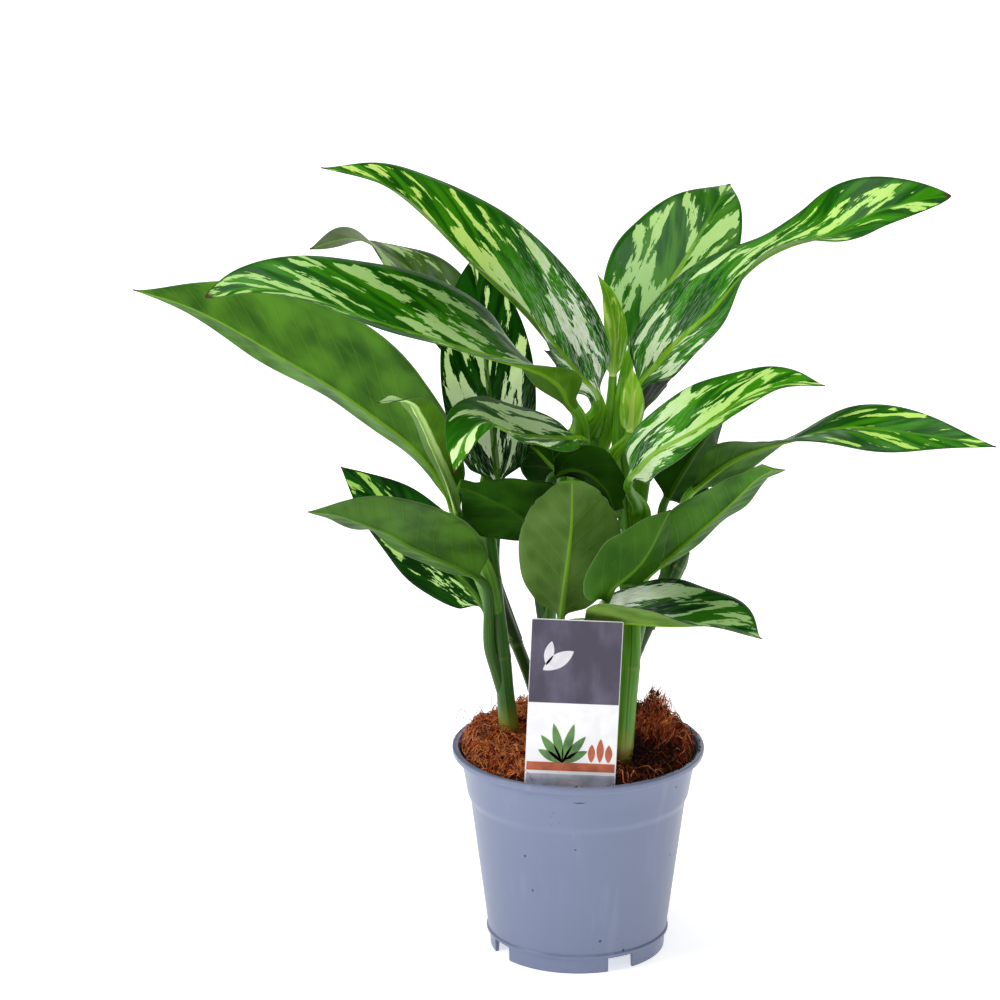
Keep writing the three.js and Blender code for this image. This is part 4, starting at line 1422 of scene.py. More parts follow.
def rounded(corners: Sequence[Point], steps: int = 6, closed: bool = False) -> Array:
    """A row of corners with each one rounded off.

    Args:
        corners: each corner's two coordinates and how far from it the rounding starts.
        steps: points that a rounded corner gets.
        closed: whether the last corner is joined to the first.

    Returns:
        Points (n, 2). Round a corner they follow (1-t)^2 start + 2t(1-t) corner + t^2 end.
    """
    rows = np.asarray(corners, float)
    place, size = rows[:, :2], rows[:, 2:]
    before, after = np.roll(place, 1, axis=0), np.roll(place, -1, axis=0)
    if not closed:
        before[0], after[-1] = place[0], place[-1]
    start = place + unit(before - place) * size
    end = place + unit(after - place) * size
    t = np.linspace(0, 1, steps)[None, :, None]
    curve = (1 - t) ** 2 * start[:, None] + 2 * t * (1 - t) * place[:, None] + t**2 * end[:, None]
    return curve.reshape(-1, 2)


def turned(profile: Array, segments: int) -> Array:
    """A profile turned round the Z axis.

    Args:
        profile: radii and heights (rows, 2).
        segments: corners of a ring.

    Returns:
        Rings (rows, segments, 3): radius cos(angle), radius sin(angle), height.
    """
    angle = np.linspace(0, 2 * math.pi, segments, endpoint=False)
    radius, height = profile[:, :1], profile[:, 1:]
    heights = np.broadcast_to(height, (len(profile), segments))
    return np.stack([radius * np.cos(angle), radius * np.sin(angle), heights], axis=-1)


def carve(piece: bpy.types.Object, cutters: Sequence[bpy.types.Object], sharp: float) -> None:
    """Cuts the cutters out of a piece, removes them, and keeps the edges past an angle sharp.

    Args:
        piece: the object that is cut.
        cutters: closed objects.
        sharp: the angle in degrees past which an edge stays sharp.
    """
    for cutter in cutters:
        cut = piece.modifiers.new("cut", "BOOLEAN")
        cut.operation, cut.solver, cut.object = "DIFFERENCE", "EXACT", cutter
    graph = bpy.context.evaluated_depsgraph_get()
    carved = bpy.data.meshes.new_from_object(piece.evaluated_get(graph))
    piece.modifiers.clear()
    piece.data = carved
    carved.set_sharp_from_angle(angle=math.radians(sharp))
    for cutter in cutters:
        bpy.data.objects.remove(cutter)


@dataclass(frozen=True)
class Plastic:
    """Blue-grey moulded plastic with faint clouding, small dark specks, dust and a fine grain."""

    base: Colour = paint(112, 122, 152)
    cloud: Colour = paint(123, 133, 163)
    streak: Colour = paint(168, 176, 206)
    speck: Colour = paint(46, 48, 62)
    dust: Colour = paint(80, 86, 110)

    def material(self, name: str) -> bpy.types.Material:
        """Makes the plastic.

        Args:
            name: the material's name.

        Returns:
            The material.
        """
        shade = Shade(name)
        place = shade.place()
        clouds = shade.noise(place, scale=22.0, detail=3.0)
        streaks = shade.noise(shade.stretched(place, (1, 1, 0.12)), scale=130.0)
        sparse = shade.ease(shade.noise(place, scale=60.0), 0.5, 0.52)
        specks = shade.product(shade.ease(shade.cells(place, 95.0), 0.08, 0.055), sparse)
        dust = shade.product(shade.ease(shade.cells(place, 210.0), 0.1, 0.06), shade.ease(clouds, 0.5, 0.6))
        colour = shade.mix(clouds, self.base, self.cloud)
        colour = shade.over(colour, self.streak, shade.ease(streaks, 0.55, 0.8), 0.12)
        colour = shade.over(colour, self.speck, specks, 0.9)
        shade.colour(shade.over(colour, self.dust, dust, 0.5))
        shade.rough(shade.scaled(clouds, 0.1, 0.3))
        shade.set(Specular_IOR_Level=0.5)
        shade.bump(shade.noise(place, scale=900.0), 0.00006, 0.6)
        return shade.material


@dataclass
class NurseryPot:
    """The tapered plastic pot: a thin rolled lip, a soft step, a ridge, and a notched foot with a pad."""

    segments: int = 180
    height: float = 101.0
    rim: float = 60.0
    foot: float = 41.8
    pad: float = 27.0
    step: float = 51.6
    step_height: float = 76.0
    ridge_height: float = 8.6
    groove_roof: float = 7.4
    wall: float = 1.8
    notches: int = 4
    notch_width: float = 13.5
    notch_roof: float = 7.0
    notch_depth: float = 12.0
    first_notch: float = -61.0
    drains: int = 8
    drain_radius: float = 2.5
    drain_circle: float = 34.0
    drain_sides: int = 24
    sharp: float = 32.0

    def profile(self) -> Array:
        """The wall's section.

        Returns:
            Radii and heights, from the middle of the underside round the lip to the middle of the floor.
        """
        foot, step, rise = self.foot, self.step, self.step_height
        under_lip = self.height - 3.3
        outside = [
            (0.5, 0, 0), (self.pad, 0, 0.7), (self.pad + 1, self.groove_roof, 0.6),
            (foot - 2.2, self.groove_roof, 0.5), (foot - 1.8, 0, 0.4), (foot, 0, 0.4),
            (foot + 0.25, self.ridge_height - 0.9, 0.2), (foot + 1.9, self.ridge_height - 0.3, 0.35),
            (foot + 1.85, self.ridge_height + 0.8, 0.4), (foot + 1.15, self.ridge_height + 1.5, 0.3),
            (step - 0.2, rise - 1.2, 1.2), (step + 1.3, rise + 2.0, 1.3), (step + 2.7, rise + 11, 2),
            (self.rim - 3.4, under_lip, 0.6), (self.rim - 0.1, under_lip - 0.1, 0.8),
            (self.rim + 0.1, self.height, 1.1),
        ]
        inside = [
            (self.rim - 2.8, self.height, 0.9), (self.rim - 3.9, under_lip, 1),
            (step + 2.7 - self.wall, rise + 11, 2), (step - self.wall, rise, 2),
            (foot + 1.2 - self.wall, self.ridge_height + 2.4, 1.5),
            (self.pad + 2, self.groove_roof + self.wall, 1), (self.pad - 1, 2.2, 1), (0.5, 2.2, 0),
        ]
        return rounded([*outside, *inside], steps=5)

    def cutters(self) -> list[bpy.types.Object]:
        """The bodies that are cut out of the pot.

        Returns:
            Blocks for the notches of the foot, then rods for the drain holes.
        """
        made = []
        corner = np.array([(-1, -1), (1, -1), (1, 1), (-1, 1)])
        for k in range(self.notches):
            turn = math.radians(self.first_notch + 360 / self.notches * k)
            half = corner * np.array([self.notch_depth, self.notch_width]) / 2 + np.array([self.foot - 1, 0])
            ring = half @ np.array([[math.cos(turn), math.sin(turn)], [-math.sin(turn), math.cos(turn)]])
            made.append((ring, (-1, self.notch_roof)))
        angle = np.linspace(0, 2 * math.pi, self.drain_sides, endpoint=False)
        circle = self.drain_radius * np.column_stack([np.cos(angle), np.sin(angle)])
        for k in range(self.drains):
            turn = 2 * math.pi / self.drains * k
            ring = circle + self.drain_circle * np.array([math.cos(turn), math.sin(turn)])
            made.append((ring, (self.groove_roof - 2, self.groove_roof + self.wall + 2)))
        pieces = []
        for number, (ring, levels) in enumerate(made):
            skin = Skin()
            skin.tube(np.stack([np.column_stack([ring, np.full(len(ring), z)]) for z in levels]))
            pieces.append(skin.shell(f"cutter_{number}", []))
        return pieces

    def build(self) -> bpy.types.Object:
        """Makes the pot.

        Returns:
            The finished piece.
        """
        skin = Skin()
        skin.tube(turned(self.profile(), self.segments))
        pot = skin.shell("nursery_pot", [Plastic().material("pot_plastic")])
        carve(pot, self.cutters(), self.sharp)
        return settle(pot, "pot_plastic", "pot")


# Where the label stands, and how far to each side of it the soil is kept clear in front of it.
LABEL_MIDDLE = (-4.8, -48.3)
LABEL_CLEAR = 25.0


class Coir(Enum):
    """The finishes of the soil's fibres and crumbs."""

    ORANGE = 0
    RED = 1
    DARK = 2
    STRAW = 3
    HAIR = 4


@dataclass(frozen=True)
class Earth:
    """Dull fibrous matter in two tones."""

    light: Colour
    dark: Colour
    rough: float = 0.9

    def material(self, name: str) -> bpy.types.Material:
        """Makes the matter.

        Args:
            name: the material's name.

        Returns:
            The material.
        """
        shade = Shade(name)
        place = shade.place()
        coarse = shade.noise(place, scale=260.0, detail=4.0, roughness=0.65)
        fine = shade.noise(place, scale=1400.0)
        colour = shade.mix(shade.ease(coarse, 0.4, 0.6), self.dark, self.light)
        shade.colour(shade.over(colour, self.dark, shade.ease(fine, 0.5, 0.7), 0.3))
        shade.rough(shade.scaled(fine, 0.1, self.rough - 0.05))
        shade.set(Specular_IOR_Level=0.25)
        shade.bump(fine, 0.0005, 0.7)
        return shade.material


@dataclass
class SoilBed:
    """Coir that fills the pot: a mound, a cover of curled fibres, crumbs, and a tuft at the right.

    edge is its height at the wall, tuft the place and spread of the tuft, fluff how much higher the coir is
    near the wall, dip how much lower it is before the label, and wall the radius that the fibres stay in.
    dark_spot is the middle and spread of a dark patch, clumps has the sizes and rises of the relief, and
    section the underside's radii and heights, which follow the inside of the pot. tuft_share and lip_share
    say how many of the crumbs lie on the tuft and on the pot's lip. short_share of the fibres are short,
    tone_limits are the draws below which one is orange or else red, and straw_shares say how many are
    straw, left and right.
    """

    seed: int = 4127
    edge: float = 98.5
    mound: float = 9.0
    mound_radius: float = 55.0
    tuft: Point = (36.0, -9.0, 7.0)
    tuft_rise: float = 9.0
    fluff: float = 4.6
    dip: float = 6.5
    wall: float = 55.3
    dark_spot: Point = (27.0, -22.0, 14.0)
    clumps: tuple[tuple[float, float], ...] = ((7.0, 1.9), (3.0, 1.3), (1.3, 0.5))
    section: tuple[tuple[float, float], ...] = (
        (20, 2.6), (25.4, 2.6), (28.6, 10), (40.8, 11.6), (49.4, 76), (52.1, 87), (55.2, 97), (55.6, 98))
    tuft_share: float = 0.12
    lip_share: float = 0.05
    lip_radius: float = 58.2
    lip_height: float = 101.2
    short_share: float = 0.6
    tone_limits: tuple[float, float] = (0.58, 0.93)
    straw_shares: tuple[float, float] = (0.06, 0.015)
    fibre_steps: int = 7
    loose_steps: int = 9
    ring_count: int = 96
    segments: int = 220
    fibre_count: int = 5100
    tuft_count: int = 760
    loose_count: int = 46
    crumb_count: int = 900

    def height(self, x: Array, y: Array) -> Array:
        """How high the coir stands.

        Args:
            x, y: places.

        Returns:
            Heights: the edge, a mound (1 - r^2)^0.8, two waves across it, and a bell for the tuft.
        """
        mound = np.maximum(0, 1 - (x**2 + y**2) / self.mound_radius**2) ** 0.8
        broad = np.sin(0.21 * x + 1) * np.cos(0.17 * y)
        narrow = np.sin(0.37 * y - 0.2 * x)
        from_tuft = (x - self.tuft[0]) ** 2 + (y - self.tuft[1]) ** 2
        tuft = self.tuft_rise * np.exp(-from_tuft / self.tuft[2] ** 2)
        return self.edge + mound * (self.mound + 1.1 * (broad + 0.6 * narrow)) + tuft

    def crumbled(self, x: Array, y: Array) -> Array:
        """The height with the relief of the clumps, the fluff near the wall and the dip before the label.

        Args:
            x, y: places.

        Returns:
            Heights. The relief fades out towards the wall.
        """
        places = np.stack([x, y], axis=-1)
        out = np.hypot(x, y)
        fluff = self.fluff * ease(18, 46, out) * (0.12 + 0.88 * ease(-34, 12, y))
        relief = sum(rise * lattice(places / size, self.seed + int(size * 10)) for size, rise in self.clumps)
        ahead = ease(-45, -49, y) * ease(28, 24, np.abs(x - LABEL_MIDDLE[0]))
        return self.height(x, y) + (relief + fluff) * np.clip((57 - out) / 5, 0, 1) - self.dip * ahead

    def bed(self) -> bpy.types.Object:
        """Makes the body of the soil.

        Returns:
            The finished piece: the section turned round below, and rings of the crumbled height above.
        """
        radii = np.linspace(55.4, 0.4, self.ring_count)
        low = turned(np.array(self.section), self.segments)
        top = turned(np.column_stack([radii, np.zeros_like(radii)]), self.segments)
        top[..., 2] = self.crumbled(top[..., 0], top[..., 1])
        skin = Skin()
        skin.tube(np.concatenate([low, top]))
        earth = Earth(paint(84, 36, 18), paint(36, 16, 9)).material("soil_earth")
        piece = skin.shell("soil_bed", [earth])
        return settle(piece, "coir", "soil")

    def strewn(self, random: np.random.Generator, count: int, radius: float) -> Array:
        """Places spread evenly over a disc, with those in front of the label moved to the back.

        Args:
            random: the source of the random draws.
            count: how many.
            radius: the disc's radius.

        Returns:
            Places (count, 2).
        """
        angle = random.uniform(0, 2 * math.pi, count)
        out = radius * np.sqrt(random.uniform(0, 1, count))
        x, y = out * np.cos(angle), out * np.sin(angle)
        hidden = (np.abs(x - LABEL_MIDDLE[0]) < LABEL_CLEAR) & (y < LABEL_MIDDLE[1] + 3)
        return np.column_stack([x, np.where(hidden, -y, y)])

    def cover(self, random: np.random.Generator) -> tuple[Array, Array, Array]:
        """The curled fibres that lie on the mound.

        Args:
            random: the source of the random draws.

        Returns:
            Their paths, radii and finishes. A fibre's heading turns steadily along it, and it stands off
            the mound by a bow, rise sin(pi t).
        """
        count, steps = self.fibre_count, self.fibre_steps
        t = np.linspace(0, 1, steps)[None]
        start = self.strewn(random, count, 54.5)
        heading = random.uniform(0, 2 * math.pi, (count, 1))
        short = random.uniform(size=(count, 1)) < self.short_share
        turn = random.normal(0, np.where(short, 3.2, 1.7), (count, 1))
        length = np.where(short, random.uniform(3, 8, (count, 1)), random.uniform(7, 20, (count, 1)))
        angle = heading + turn * (t - 0.5)
        step = length / (steps - 1)
        x = start[:, :1] + np.cumsum(np.cos(angle) * step, axis=1) - length * np.cos(heading) / 2
        y = start[:, 1:] + np.cumsum(np.sin(angle) * step, axis=1) - length * np.sin(heading) / 2
        out = np.maximum(np.hypot(x, y), 1e-6)
        inside = np.minimum(1, self.wall / out)
        x, y = x * inside, y * inside
        before = (np.abs(x - LABEL_MIDDLE[0]) < LABEL_CLEAR) & (y < LABEL_MIDDLE[1] + 2)
        y = np.where(before, LABEL_MIDDLE[1] + 2, y)
        rise = np.abs(random.normal(0, 1.9, (count, 1))) + 0.2
        tilt = random.normal(0, 0.9, (count, 1))
        z = self.crumbled(x, y) + 0.15 + rise * np.sin(math.pi * t) + np.abs(tilt) * t**2
        radii = random.uniform(0.15, 0.36, (count, 1)) * (1 - 0.45 * t)
        spot_x, spot_y, spot_spread = self.dark_spot
        dark = np.exp(-((start[:, 0] - spot_x) ** 2 + (start[:, 1] - spot_y) ** 2) / spot_spread**2)
        right = 0.35 * ease(5, 30, start[:, 0])
        draw = random.uniform(size=count) + 0.75 * dark + right
        tones = [Coir.ORANGE.value, Coir.RED.value]
        finishes = np.select([draw < limit for limit in self.tone_limits], tones, Coir.DARK.value)
        straw = random.uniform(size=count) < np.where(start[:, 0] < 5, *self.straw_shares)
        finishes = np.where(straw, Coir.STRAW.value, finishes)
        return np.stack([x, y, z], axis=-1), radii, finishes

    def tuft_fibres(self, random: np.random.Generator) -> tuple[Array, Array, Array]:
        """The upright mat of red-brown fibres at the right.

        Args:
            random: the source of the random draws.

        Returns:
            Their paths, radii and finishes. A fibre leans over with t^1.5 and curls by a sine.
        """
        count = self.tuft_count
        t = np.linspace(0, 1, self.fibre_steps)[None]
        x0, y0, spread = self.tuft
        foot_x = x0 + random.normal(0, spread * 0.62, (count, 1))
        foot_y = y0 + random.normal(0, spread * 0.5, (count, 1))
        tall = random.uniform(7, 21, (count, 1)) * np.exp(-((foot_x - x0) ** 2) / (spread * 1.5) ** 2)
        lean = random.normal(0, 2.4, (count, 2)) + np.array([1.0, 0.8])
        curl = random.normal(0, 1.6, (count, 1))
        x = foot_x + lean[:, :1] * t**1.5 + curl * np.sin(2.2 * math.pi * t)
        y = foot_y + lean[:, 1:] * t**1.5 + curl[::-1] * np.sin(1.7 * math.pi * t)
        z = self.height(foot_x, foot_y) - 1 + tall * t
        radii = random.uniform(0.14, 0.3, (count, 1)) * (1 - 0.5 * t)
        finishes = np.where(random.uniform(size=count) < 0.6, Coir.RED.value, Coir.ORANGE.value)
        return np.stack([x, y, z], axis=-1), radii, finishes

    def loose_fibres(self, random: np.random.Generator) -> tuple[Array, Array, Array]:
        """The long pale fibres that stray over the lip, most of them at the left.

        Args:
            random: the source of the random draws.

        Returns:
            Their paths, radii and finishes. A fibre's heading turns along it, and it climbs by a sine and
            lies on the lip.
        """
        count, steps = self.loose_count, self.loose_steps
        t = np.linspace(0, 1, steps)[None]
        at_left = random.uniform(size=(count, 1)) < 0.75
        left, anywhere = random.normal(3.3, 0.45, (count, 1)), random.uniform(0, 2 * math.pi, (count, 1))
        angle = np.where(at_left, left, anywhere)
        out = random.uniform(38, 52, (count, 1))
        length = random.uniform(11, 30, (count, 1))
        heading = angle + random.normal(0, 0.7, (count, 1)) + random.normal(0, 0.8, (count, 1)) * t
        x = out * np.cos(angle) + np.cumsum(np.cos(heading), axis=1) * length / steps
        y = out * np.sin(angle) + np.cumsum(np.sin(heading), axis=1) * length / steps
        start = self.height(x[:, :1], y[:, :1])
        climb = random.uniform(2, 13, (count, 1))
        z = start + climb * np.sin(math.pi * t * random.uniform(0.4, 0.9, (count, 1)))
        z = np.maximum(z, np.where(np.hypot(x, y) > 54, 101.6, 0))
        radii = random.uniform(0.14, 0.22, (count, 1)) * (1 - 0.5 * t)
        return np.stack([x, y, z], axis=-1), radii, np.full(count, Coir.HAIR.value)

    def fibres(self) -> None:
        """The fibres, as one piece for the cover and one for the tuft and the loose ones."""
        random = np.random.default_rng(self.seed)
        tones = {
            Coir.ORANGE: (paint(250, 160, 90), paint(214, 104, 46)),
            Coir.RED: (paint(178, 70, 34), paint(118, 42, 20)),
            Coir.DARK: (paint(78, 34, 20), paint(38, 17, 11)),
            Coir.STRAW: (paint(240, 206, 172), paint(206, 160, 118)),
            Coir.HAIR: (paint(206, 142, 106), paint(160, 96, 66)),
        }
        finishes = [Earth(*tones[tone], rough=0.75).material(f"coir_{tone.name.lower()}") for tone in Coir]
        cover, tuft, loose = self.cover(random), self.tuft_fibres(random), self.loose_fibres(random)
        sets = {"coir_cover": [cover], "coir_tuft": [tuft, loose]}
        for name, threads in sets.items():
            skin = Skin()
            for paths, radii, kinds in threads:
                skin.threads(paths, radii, kinds)
            settle(skin.shell(name, finishes), "coir")

    def crumbs(self) -> bpy.types.Object:
        """Makes the small dark crumbs on the mound, the tuft and the lip.

        Returns:
            The finished piece. A crumb is an uneven eight-faced grain: six tips along the axes, turned.
        """
        random = np.random.default_rng(self.seed + 1)
        count = self.crumb_count
        places = self.strewn(random, count, 55)
        near_tuft = int(count * self.tuft_share)
        places[:near_tuft] = np.array(self.tuft[:2]) + random.normal(0, 3.2, (near_tuft, 2))
        z = self.crumbled(places[:, 0], places[:, 1]) + 0.3
        z[:near_tuft] += random.uniform(8, 15, near_tuft)
        on_lip = int(count * self.lip_share)
        angle = random.normal(-0.5, 0.5, on_lip)
        places[-on_lip:] = self.lip_radius * np.column_stack([np.cos(angle), np.sin(angle)])
        z[-on_lip:] = self.lip_height
        sizes = random.uniform(0.3, 1.15, (count, 1, 1)) * random.uniform(0.6, 1.2, (count, 6, 1))
        sizes[-on_lip:] *= 0.6
        tips = np.stack([np.eye(3), -np.eye(3)], axis=1).reshape(6, 3)
        turn = np.linalg.qr(random.normal(size=(count, 3, 3)))[0]
        turn *= np.sign(np.linalg.det(turn))[:, None, None]
        corners = np.column_stack([places, z])[:, None] + (tips * sizes) @ turn
        belt = ((0, 2), (2, 1), (1, 3), (3, 0))
        faces = np.array([(a, b, 4) for a, b in belt] + [(b, a, 5) for a, b in belt])
        skin = Skin()
        first = skin.add_points(corners)
        skin.add_faces(first + faces[None] + len(tips) * np.arange(count)[:, None, None], 0)
        earth = Earth(paint(60, 30, 18), paint(30, 15, 10)).material("coir_crumb")
        crumbs = skin.shell("coir_crumbs", [earth])
        crumbs.data.polygons.foreach_set("use_smooth", np.zeros(len(crumbs.data.polygons), bool))
        return settle(crumbs, "coir")


class Print(Enum):
    """The label's finishes, in the order of its material slots."""

    WHITE = 0
    DARK = 1
    GREEN = 2
    CLAY = 3
    PALE = 4
    STONE = 5


@dataclass(frozen=True)
class Ink:
    """A printed colour that varies between two tones.

    scale, detail and squeeze are the size, fineness and flatness of its clouds, and rough says how much its
    roughness varies and where that starts.
    """

    light: Colour
    dark: Colour
    scale: float = 160.0
    detail: float = 2.0
    squeeze: float = 1.0
    rough: tuple[float, float] = (0.08, 0.4)

    def material(self, name: str) -> bpy.types.Material:
        """Makes the ink.

        Args:
            name: the material's name.

        Returns:
            The material.
        """
        shade = Shade(name)
        place = shade.stretched(shade.place(), (1, 1, self.squeeze))
        cloud = shade.noise(place, scale=self.scale, detail=self.detail)
        shade.colour(shade.mix(shade.ease(cloud, 0.35, 0.7), self.light, self.dark))
        shade.rough(shade.scaled(cloud, *self.rough))
        return shade.material


INKS: dict[Print, Ink] = {
    Print.WHITE: Ink(paint(250, 249, 251), paint(242, 241, 245)),
    Print.DARK: Ink(paint(62, 56, 76), paint(92, 86, 108), 90.0, 4.0, 0.5, (0.1, 0.42)),
    Print.GREEN: Ink(paint(92, 140, 66), paint(60, 104, 48)),
    Print.CLAY: Ink(paint(196, 98, 58), paint(168, 78, 44)),
    Print.PALE: Ink(paint(228, 226, 232), paint(212, 210, 220)),
    Print.STONE: Ink(paint(196, 200, 214), paint(164, 170, 190)),
}


@dataclass
class PlantLabel:
    """A flat card at the front, dark above and white below, with plain leaf shapes and bands printed on it.

    neck is the height of its lower edge over the floor, tip that of its stake's foot, split that of the
    dark part's lower edge over the neck, lean its angle to the right in degrees, and ink how proud a print
    stands.
    """

    width: float = 42.5
    top: float = 180.0
    neck: float = 97.0
    tip: float = 84.0
    stake: float = 16.0
    thickness: float = 0.7
    x: float = LABEL_MIDDLE[0]
    y: float = LABEL_MIDDLE[1]
    lean: float = 2.4
    split: float = 42.0
    ink: float = 0.05
    sunk: float = 0.1
    border: float = 0.25
    band_border: float = 0.6

    def placed(self, flat: Array, depth: float) -> Array:
        """Points on the card's face at a depth behind it, leaned and set in the pot.

        Args:
            flat: points (n, 2), sideways and up from the middle of the card's lower edge.
            depth: distance behind the card's middle.

        Returns:
            Points (n, 3).
        """
        turn = math.radians(self.lean)
        x = flat[:, 0] * math.cos(turn) + flat[:, 1] * math.sin(turn)
        z = -flat[:, 0] * math.sin(turn) + flat[:, 1] * math.cos(turn)
        return np.column_stack([x + self.x, np.full(len(x), self.y + depth), z + self.neck])

    def plate(self, skin: Skin, outline: Array, back: float, front: float, finish: Print) -> None:
        """Adds a flat closed plate of an outline that runs against the clock, between two depths."""
        skin.tube(np.stack([self.placed(outline, depth) for depth in (back, front)]), finish.value)

    def leaf_shape(self, x: float, z: float, length: float, width: float, degrees: float) -> Array:
        """The outline of a pointed leaf.

        Args:
            x, z: where its line starts, from the middle of the card's lower edge.
            length, width, degrees: the line's length, the leaf's width and the line's slope.

        Returns:
            Points (n, 2): width sin(pi t)^0.8 about the line, first on its right and then back on its left.
        """
        t = np.linspace(0, 1, 14)
        half = width / 2 * np.sin(math.pi * t) ** 0.8
        along = np.concatenate([t, t[-2:0:-1]]) * length
        across = np.concatenate([-half, half[-2:0:-1]])
        turn = math.radians(degrees)
        return np.column_stack([
            x + along * math.cos(turn) - across * math.sin(turn),
            z + along * math.sin(turn) + across * math.cos(turn)])

    def build(self) -> bpy.types.Object:
        """Makes the label.

        Returns:
            The finished piece: the card, the dark part on both of its faces, and the shapes over that.
        """
        side, foot, high = self.width / 2, self.stake / 2, self.top - self.neck
        half, stake = self.thickness / 2, self.tip - self.neck
        skin = Skin()
        card = rounded([
            (-foot, stake, 1), (foot, stake, 1), (foot, -4, 1), (side, 0, 1),
            (side, high, 0.6), (-side, high, 0.6), (-side, 0, 1), (-foot, -4, 1)], closed=True)
        self.plate(skin, card, half, -half, Print.WHITE)
        inner, roof = side - self.border, high - self.border
        dark = rounded([(-inner, self.split, 0.01), (inner, self.split, 0.01), (inner, roof, 0.5),
                        (-inner, roof, 0.5)], closed=True)
        for face in (-1, 1):
            paper = face * half
            levels = [sorted((paper - face * self.sunk, paper + face * proud), reverse=True)
                      for proud in (self.ink, 2 * self.ink)]
            self.plate(skin, dark, *levels[0], Print.DARK)
            self.motif(skin, *levels[1])
        finishes = [INKS[tone].material(f"label_{tone.name.lower()}") for tone in Print]
        return settle(skin.shell("label_card", finishes, sharp=30), "label_sheet", "plant_label")

    def motif(self, skin: Skin, back: float, front: float) -> None:
        """Adds the plain shapes: two pale leaves above, and a green fan and clay leaves over two bands.

        Args:
            skin: the label's skin.
            back, front: the depths that a shape lies between.
        """
        pale = ((-15, 58, 17, 7, 35), (-13.5, 60.5, 12, 4.5, 80))
        fan = ((28, 13), (52, 17), (76, 20), (104, 20), (128, 17), (152, 13))
        row = ((9.5, 9), (13.5, 12), (17.5, 9))
        leaves = {
            Print.PALE: pale,
            Print.GREEN: tuple((-4, 12.5, length, 4.2, degrees) for degrees, length in fan),
            Print.CLAY: tuple((x, 13, length, 3.4, 90) for x, length in row),
        }
        for finish, shapes in leaves.items():
            for shape in shapes:
                self.plate(skin, self.leaf_shape(*shape), back, front, finish)
        side = self.width / 2 - self.band_border
        for low, high, finish in ((8.4, 12.6, Print.CLAY), (1.0, 6.8, Print.STONE)):
            band = np.array([(-side, low), (side, low), (side, high), (-side, high)])
            self.plate(skin, band, back, front, finish)


@dataclass(frozen=True)
class FloorPaper:
    """White paper that glows by near_glow at the pot, by far_glow beyond it and in between over the rim."""

    near_glow: float = 0.6
    far_glow: float = 0.95
    rim: tuple[float, float] = (0.2, 1.6)

    def material(self, name: str) -> bpy.types.Material:
        """Makes the paper.

        Args:
            name: the material's name.

        Returns:
            The material.
        """
        shade = Shade(name)
        cloud = shade.noise(shade.place(), scale=3.0)
        shade.colour(shade.mix(cloud, paint(250, 250, 250), paint(252, 252, 252)))
        shade.rough(0.9)
        black, white = (0.0, 0.0, 0.0), (1.0, 1.0, 1.0)
        apart = shade.tree.nodes.new("ShaderNodeVectorMath")
        apart.operation = "LENGTH"
        shade.feed(apart.inputs[0], shade.place())
        beyond = shade.ease(apart.outputs["Value"], *self.rim)
        glow = shade.scaled(beyond, self.far_glow - self.near_glow, self.near_glow)
        shade.set(Specular_IOR_Level=0.1, Emission_Color=shade.mix(glow, black, white), Emission_Strength=1.0)
        return shade.material


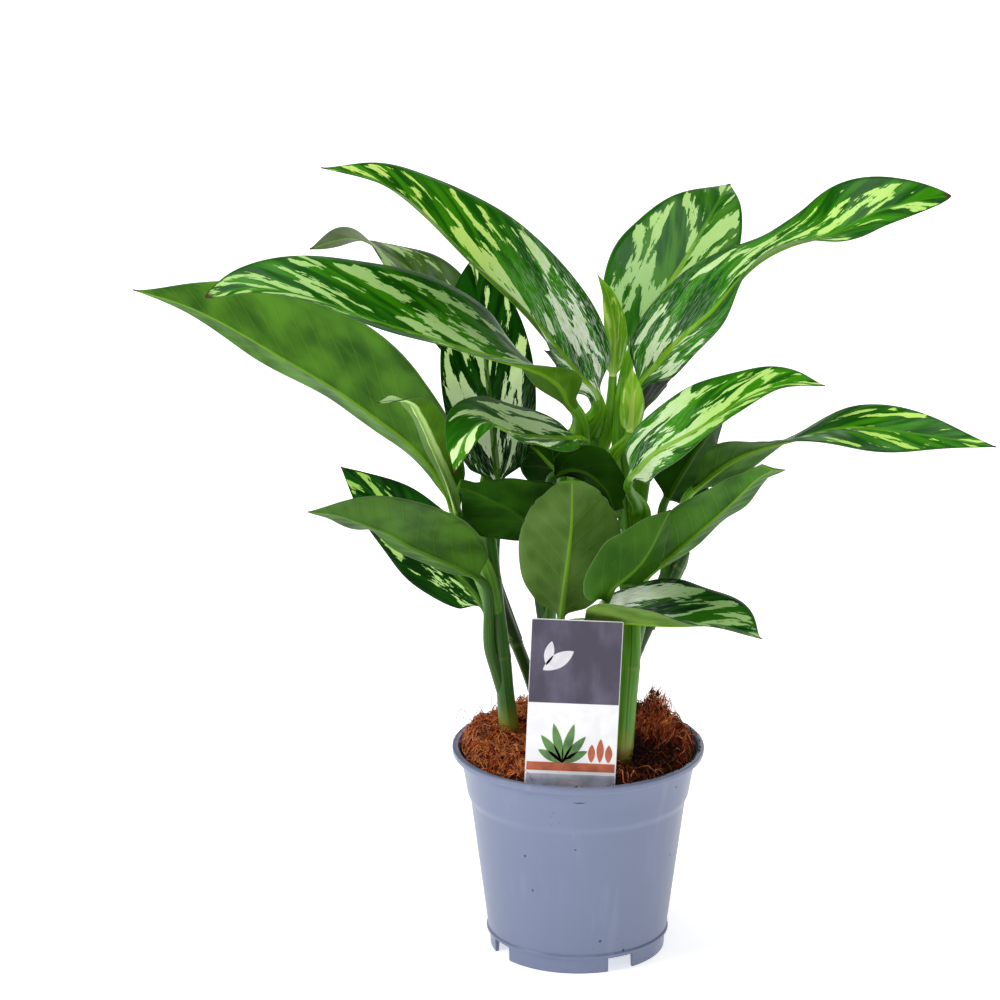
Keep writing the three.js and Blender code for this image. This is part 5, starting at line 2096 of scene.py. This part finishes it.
@dataclass
class Studio:
    """The pale floor, the soft lights and the camera of the photo, all in metres.

    Each of lamps has a name, a place, a side and a power in watts.
    """

    reach: float = 9.0
    eye: Point = (-0.03728, -2.2520, 0.9373)
    pitch: float = 17.6
    lens: float = 181.15
    sensor: float = 36.0
    ambient: float = 0.16
    sight: float = 40.0
    middle: Point = (0.0, 0.0, 0.2)
    lamps: tuple[tuple[str, Point, float, float], ...] = (
        ("key", (-1.7, -0.75, 1.35), 0.9, 21.0),
        ("fill", (1.4, -1.5, 0.9), 1.2, 1.0),
        ("top", (0.1, -0.1, 1.8), 0.9, 16.0),
        ("front", (0.1, -1.7, 1.6), 0.8, 4.5),
        ("back", (0.5, 1.5, 1.0), 1.0, 5.0),
    )

    def floor(self) -> bpy.types.Object:
        """Makes the wide flat floor under the pot.

        Returns:
            The floor.
        """
        x, y = np.meshgrid((-self.reach, self.reach), (-self.reach, self.reach))
        points = np.stack([x, y, np.zeros_like(x)], axis=-1).reshape(-1, 3) / METRES
        skin = Skin()
        first = skin.add_points(points)
        skin.add_faces(first + np.array([[0, 1, 3, 2]]), 0)
        floor = skin.shell("studio_floor", [FloorPaper().material("floor_paper")])
        return floor

    def light(self, name: str, place: Point, size: float, power: float) -> None:
        """Hangs a square light panel that faces the middle of the plant.

        Args:
            name: the light's name.
            place: where it hangs.
            size: its side.
            power: its power in watts.
        """
        lamp = bpy.data.lights.new(name, "AREA")
        lamp.size, lamp.energy = size, power
        panel = bpy.data.objects.new(name, lamp)
        panel.location = place
        aim = Vector(self.middle) - Vector(place)
        panel.rotation_euler = aim.to_track_quat("-Z", "Y").to_euler()
        bpy.context.scene.collection.objects.link(panel)

    def build(self) -> None:
        """Sets up the studio."""
        self.floor()
        scene = bpy.context.scene
        world = bpy.data.worlds.new("studio_air")
        world.use_nodes = True
        back = world.node_tree.nodes["Background"]
        back.inputs["Color"].default_value = (1.0, 1.0, 1.0, 1.0)
        back.inputs["Strength"].default_value = self.ambient
        scene.world = world
        for lamp in self.lamps:
            self.light(*lamp)
        lens = bpy.data.cameras.new("photo_camera")
        lens.lens, lens.sensor_width = self.lens, self.sensor
        lens.clip_end = self.sight
        camera = bpy.data.objects.new("photo_camera", lens)
        camera.location = self.eye
        camera.rotation_euler = (math.radians(90 - self.pitch), 0.0, 0.0)
        scene.collection.objects.link(camera)
        scene.camera = camera
        scene.view_settings.view_transform = "Standard"


def main() -> None:
    """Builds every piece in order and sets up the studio."""
    logging.basicConfig(level=logging.INFO, format="%(name)s %(message)s")
    NurseryPot().build()
    soil = SoilBed()
    soil.bed()
    soil.fibres()
    soil.crumbs()
    PlantLabel().build()
    canes = {name: Cane(f"cane_{name}", habit) for name, habit in CANES.items()}
    for cane in canes.values():
        cane.build()
    for habit in HABITS:
        Leaf(habit, canes[habit.cane]).build()
    Studio().build()


if __name__ == "__main__":
    main()
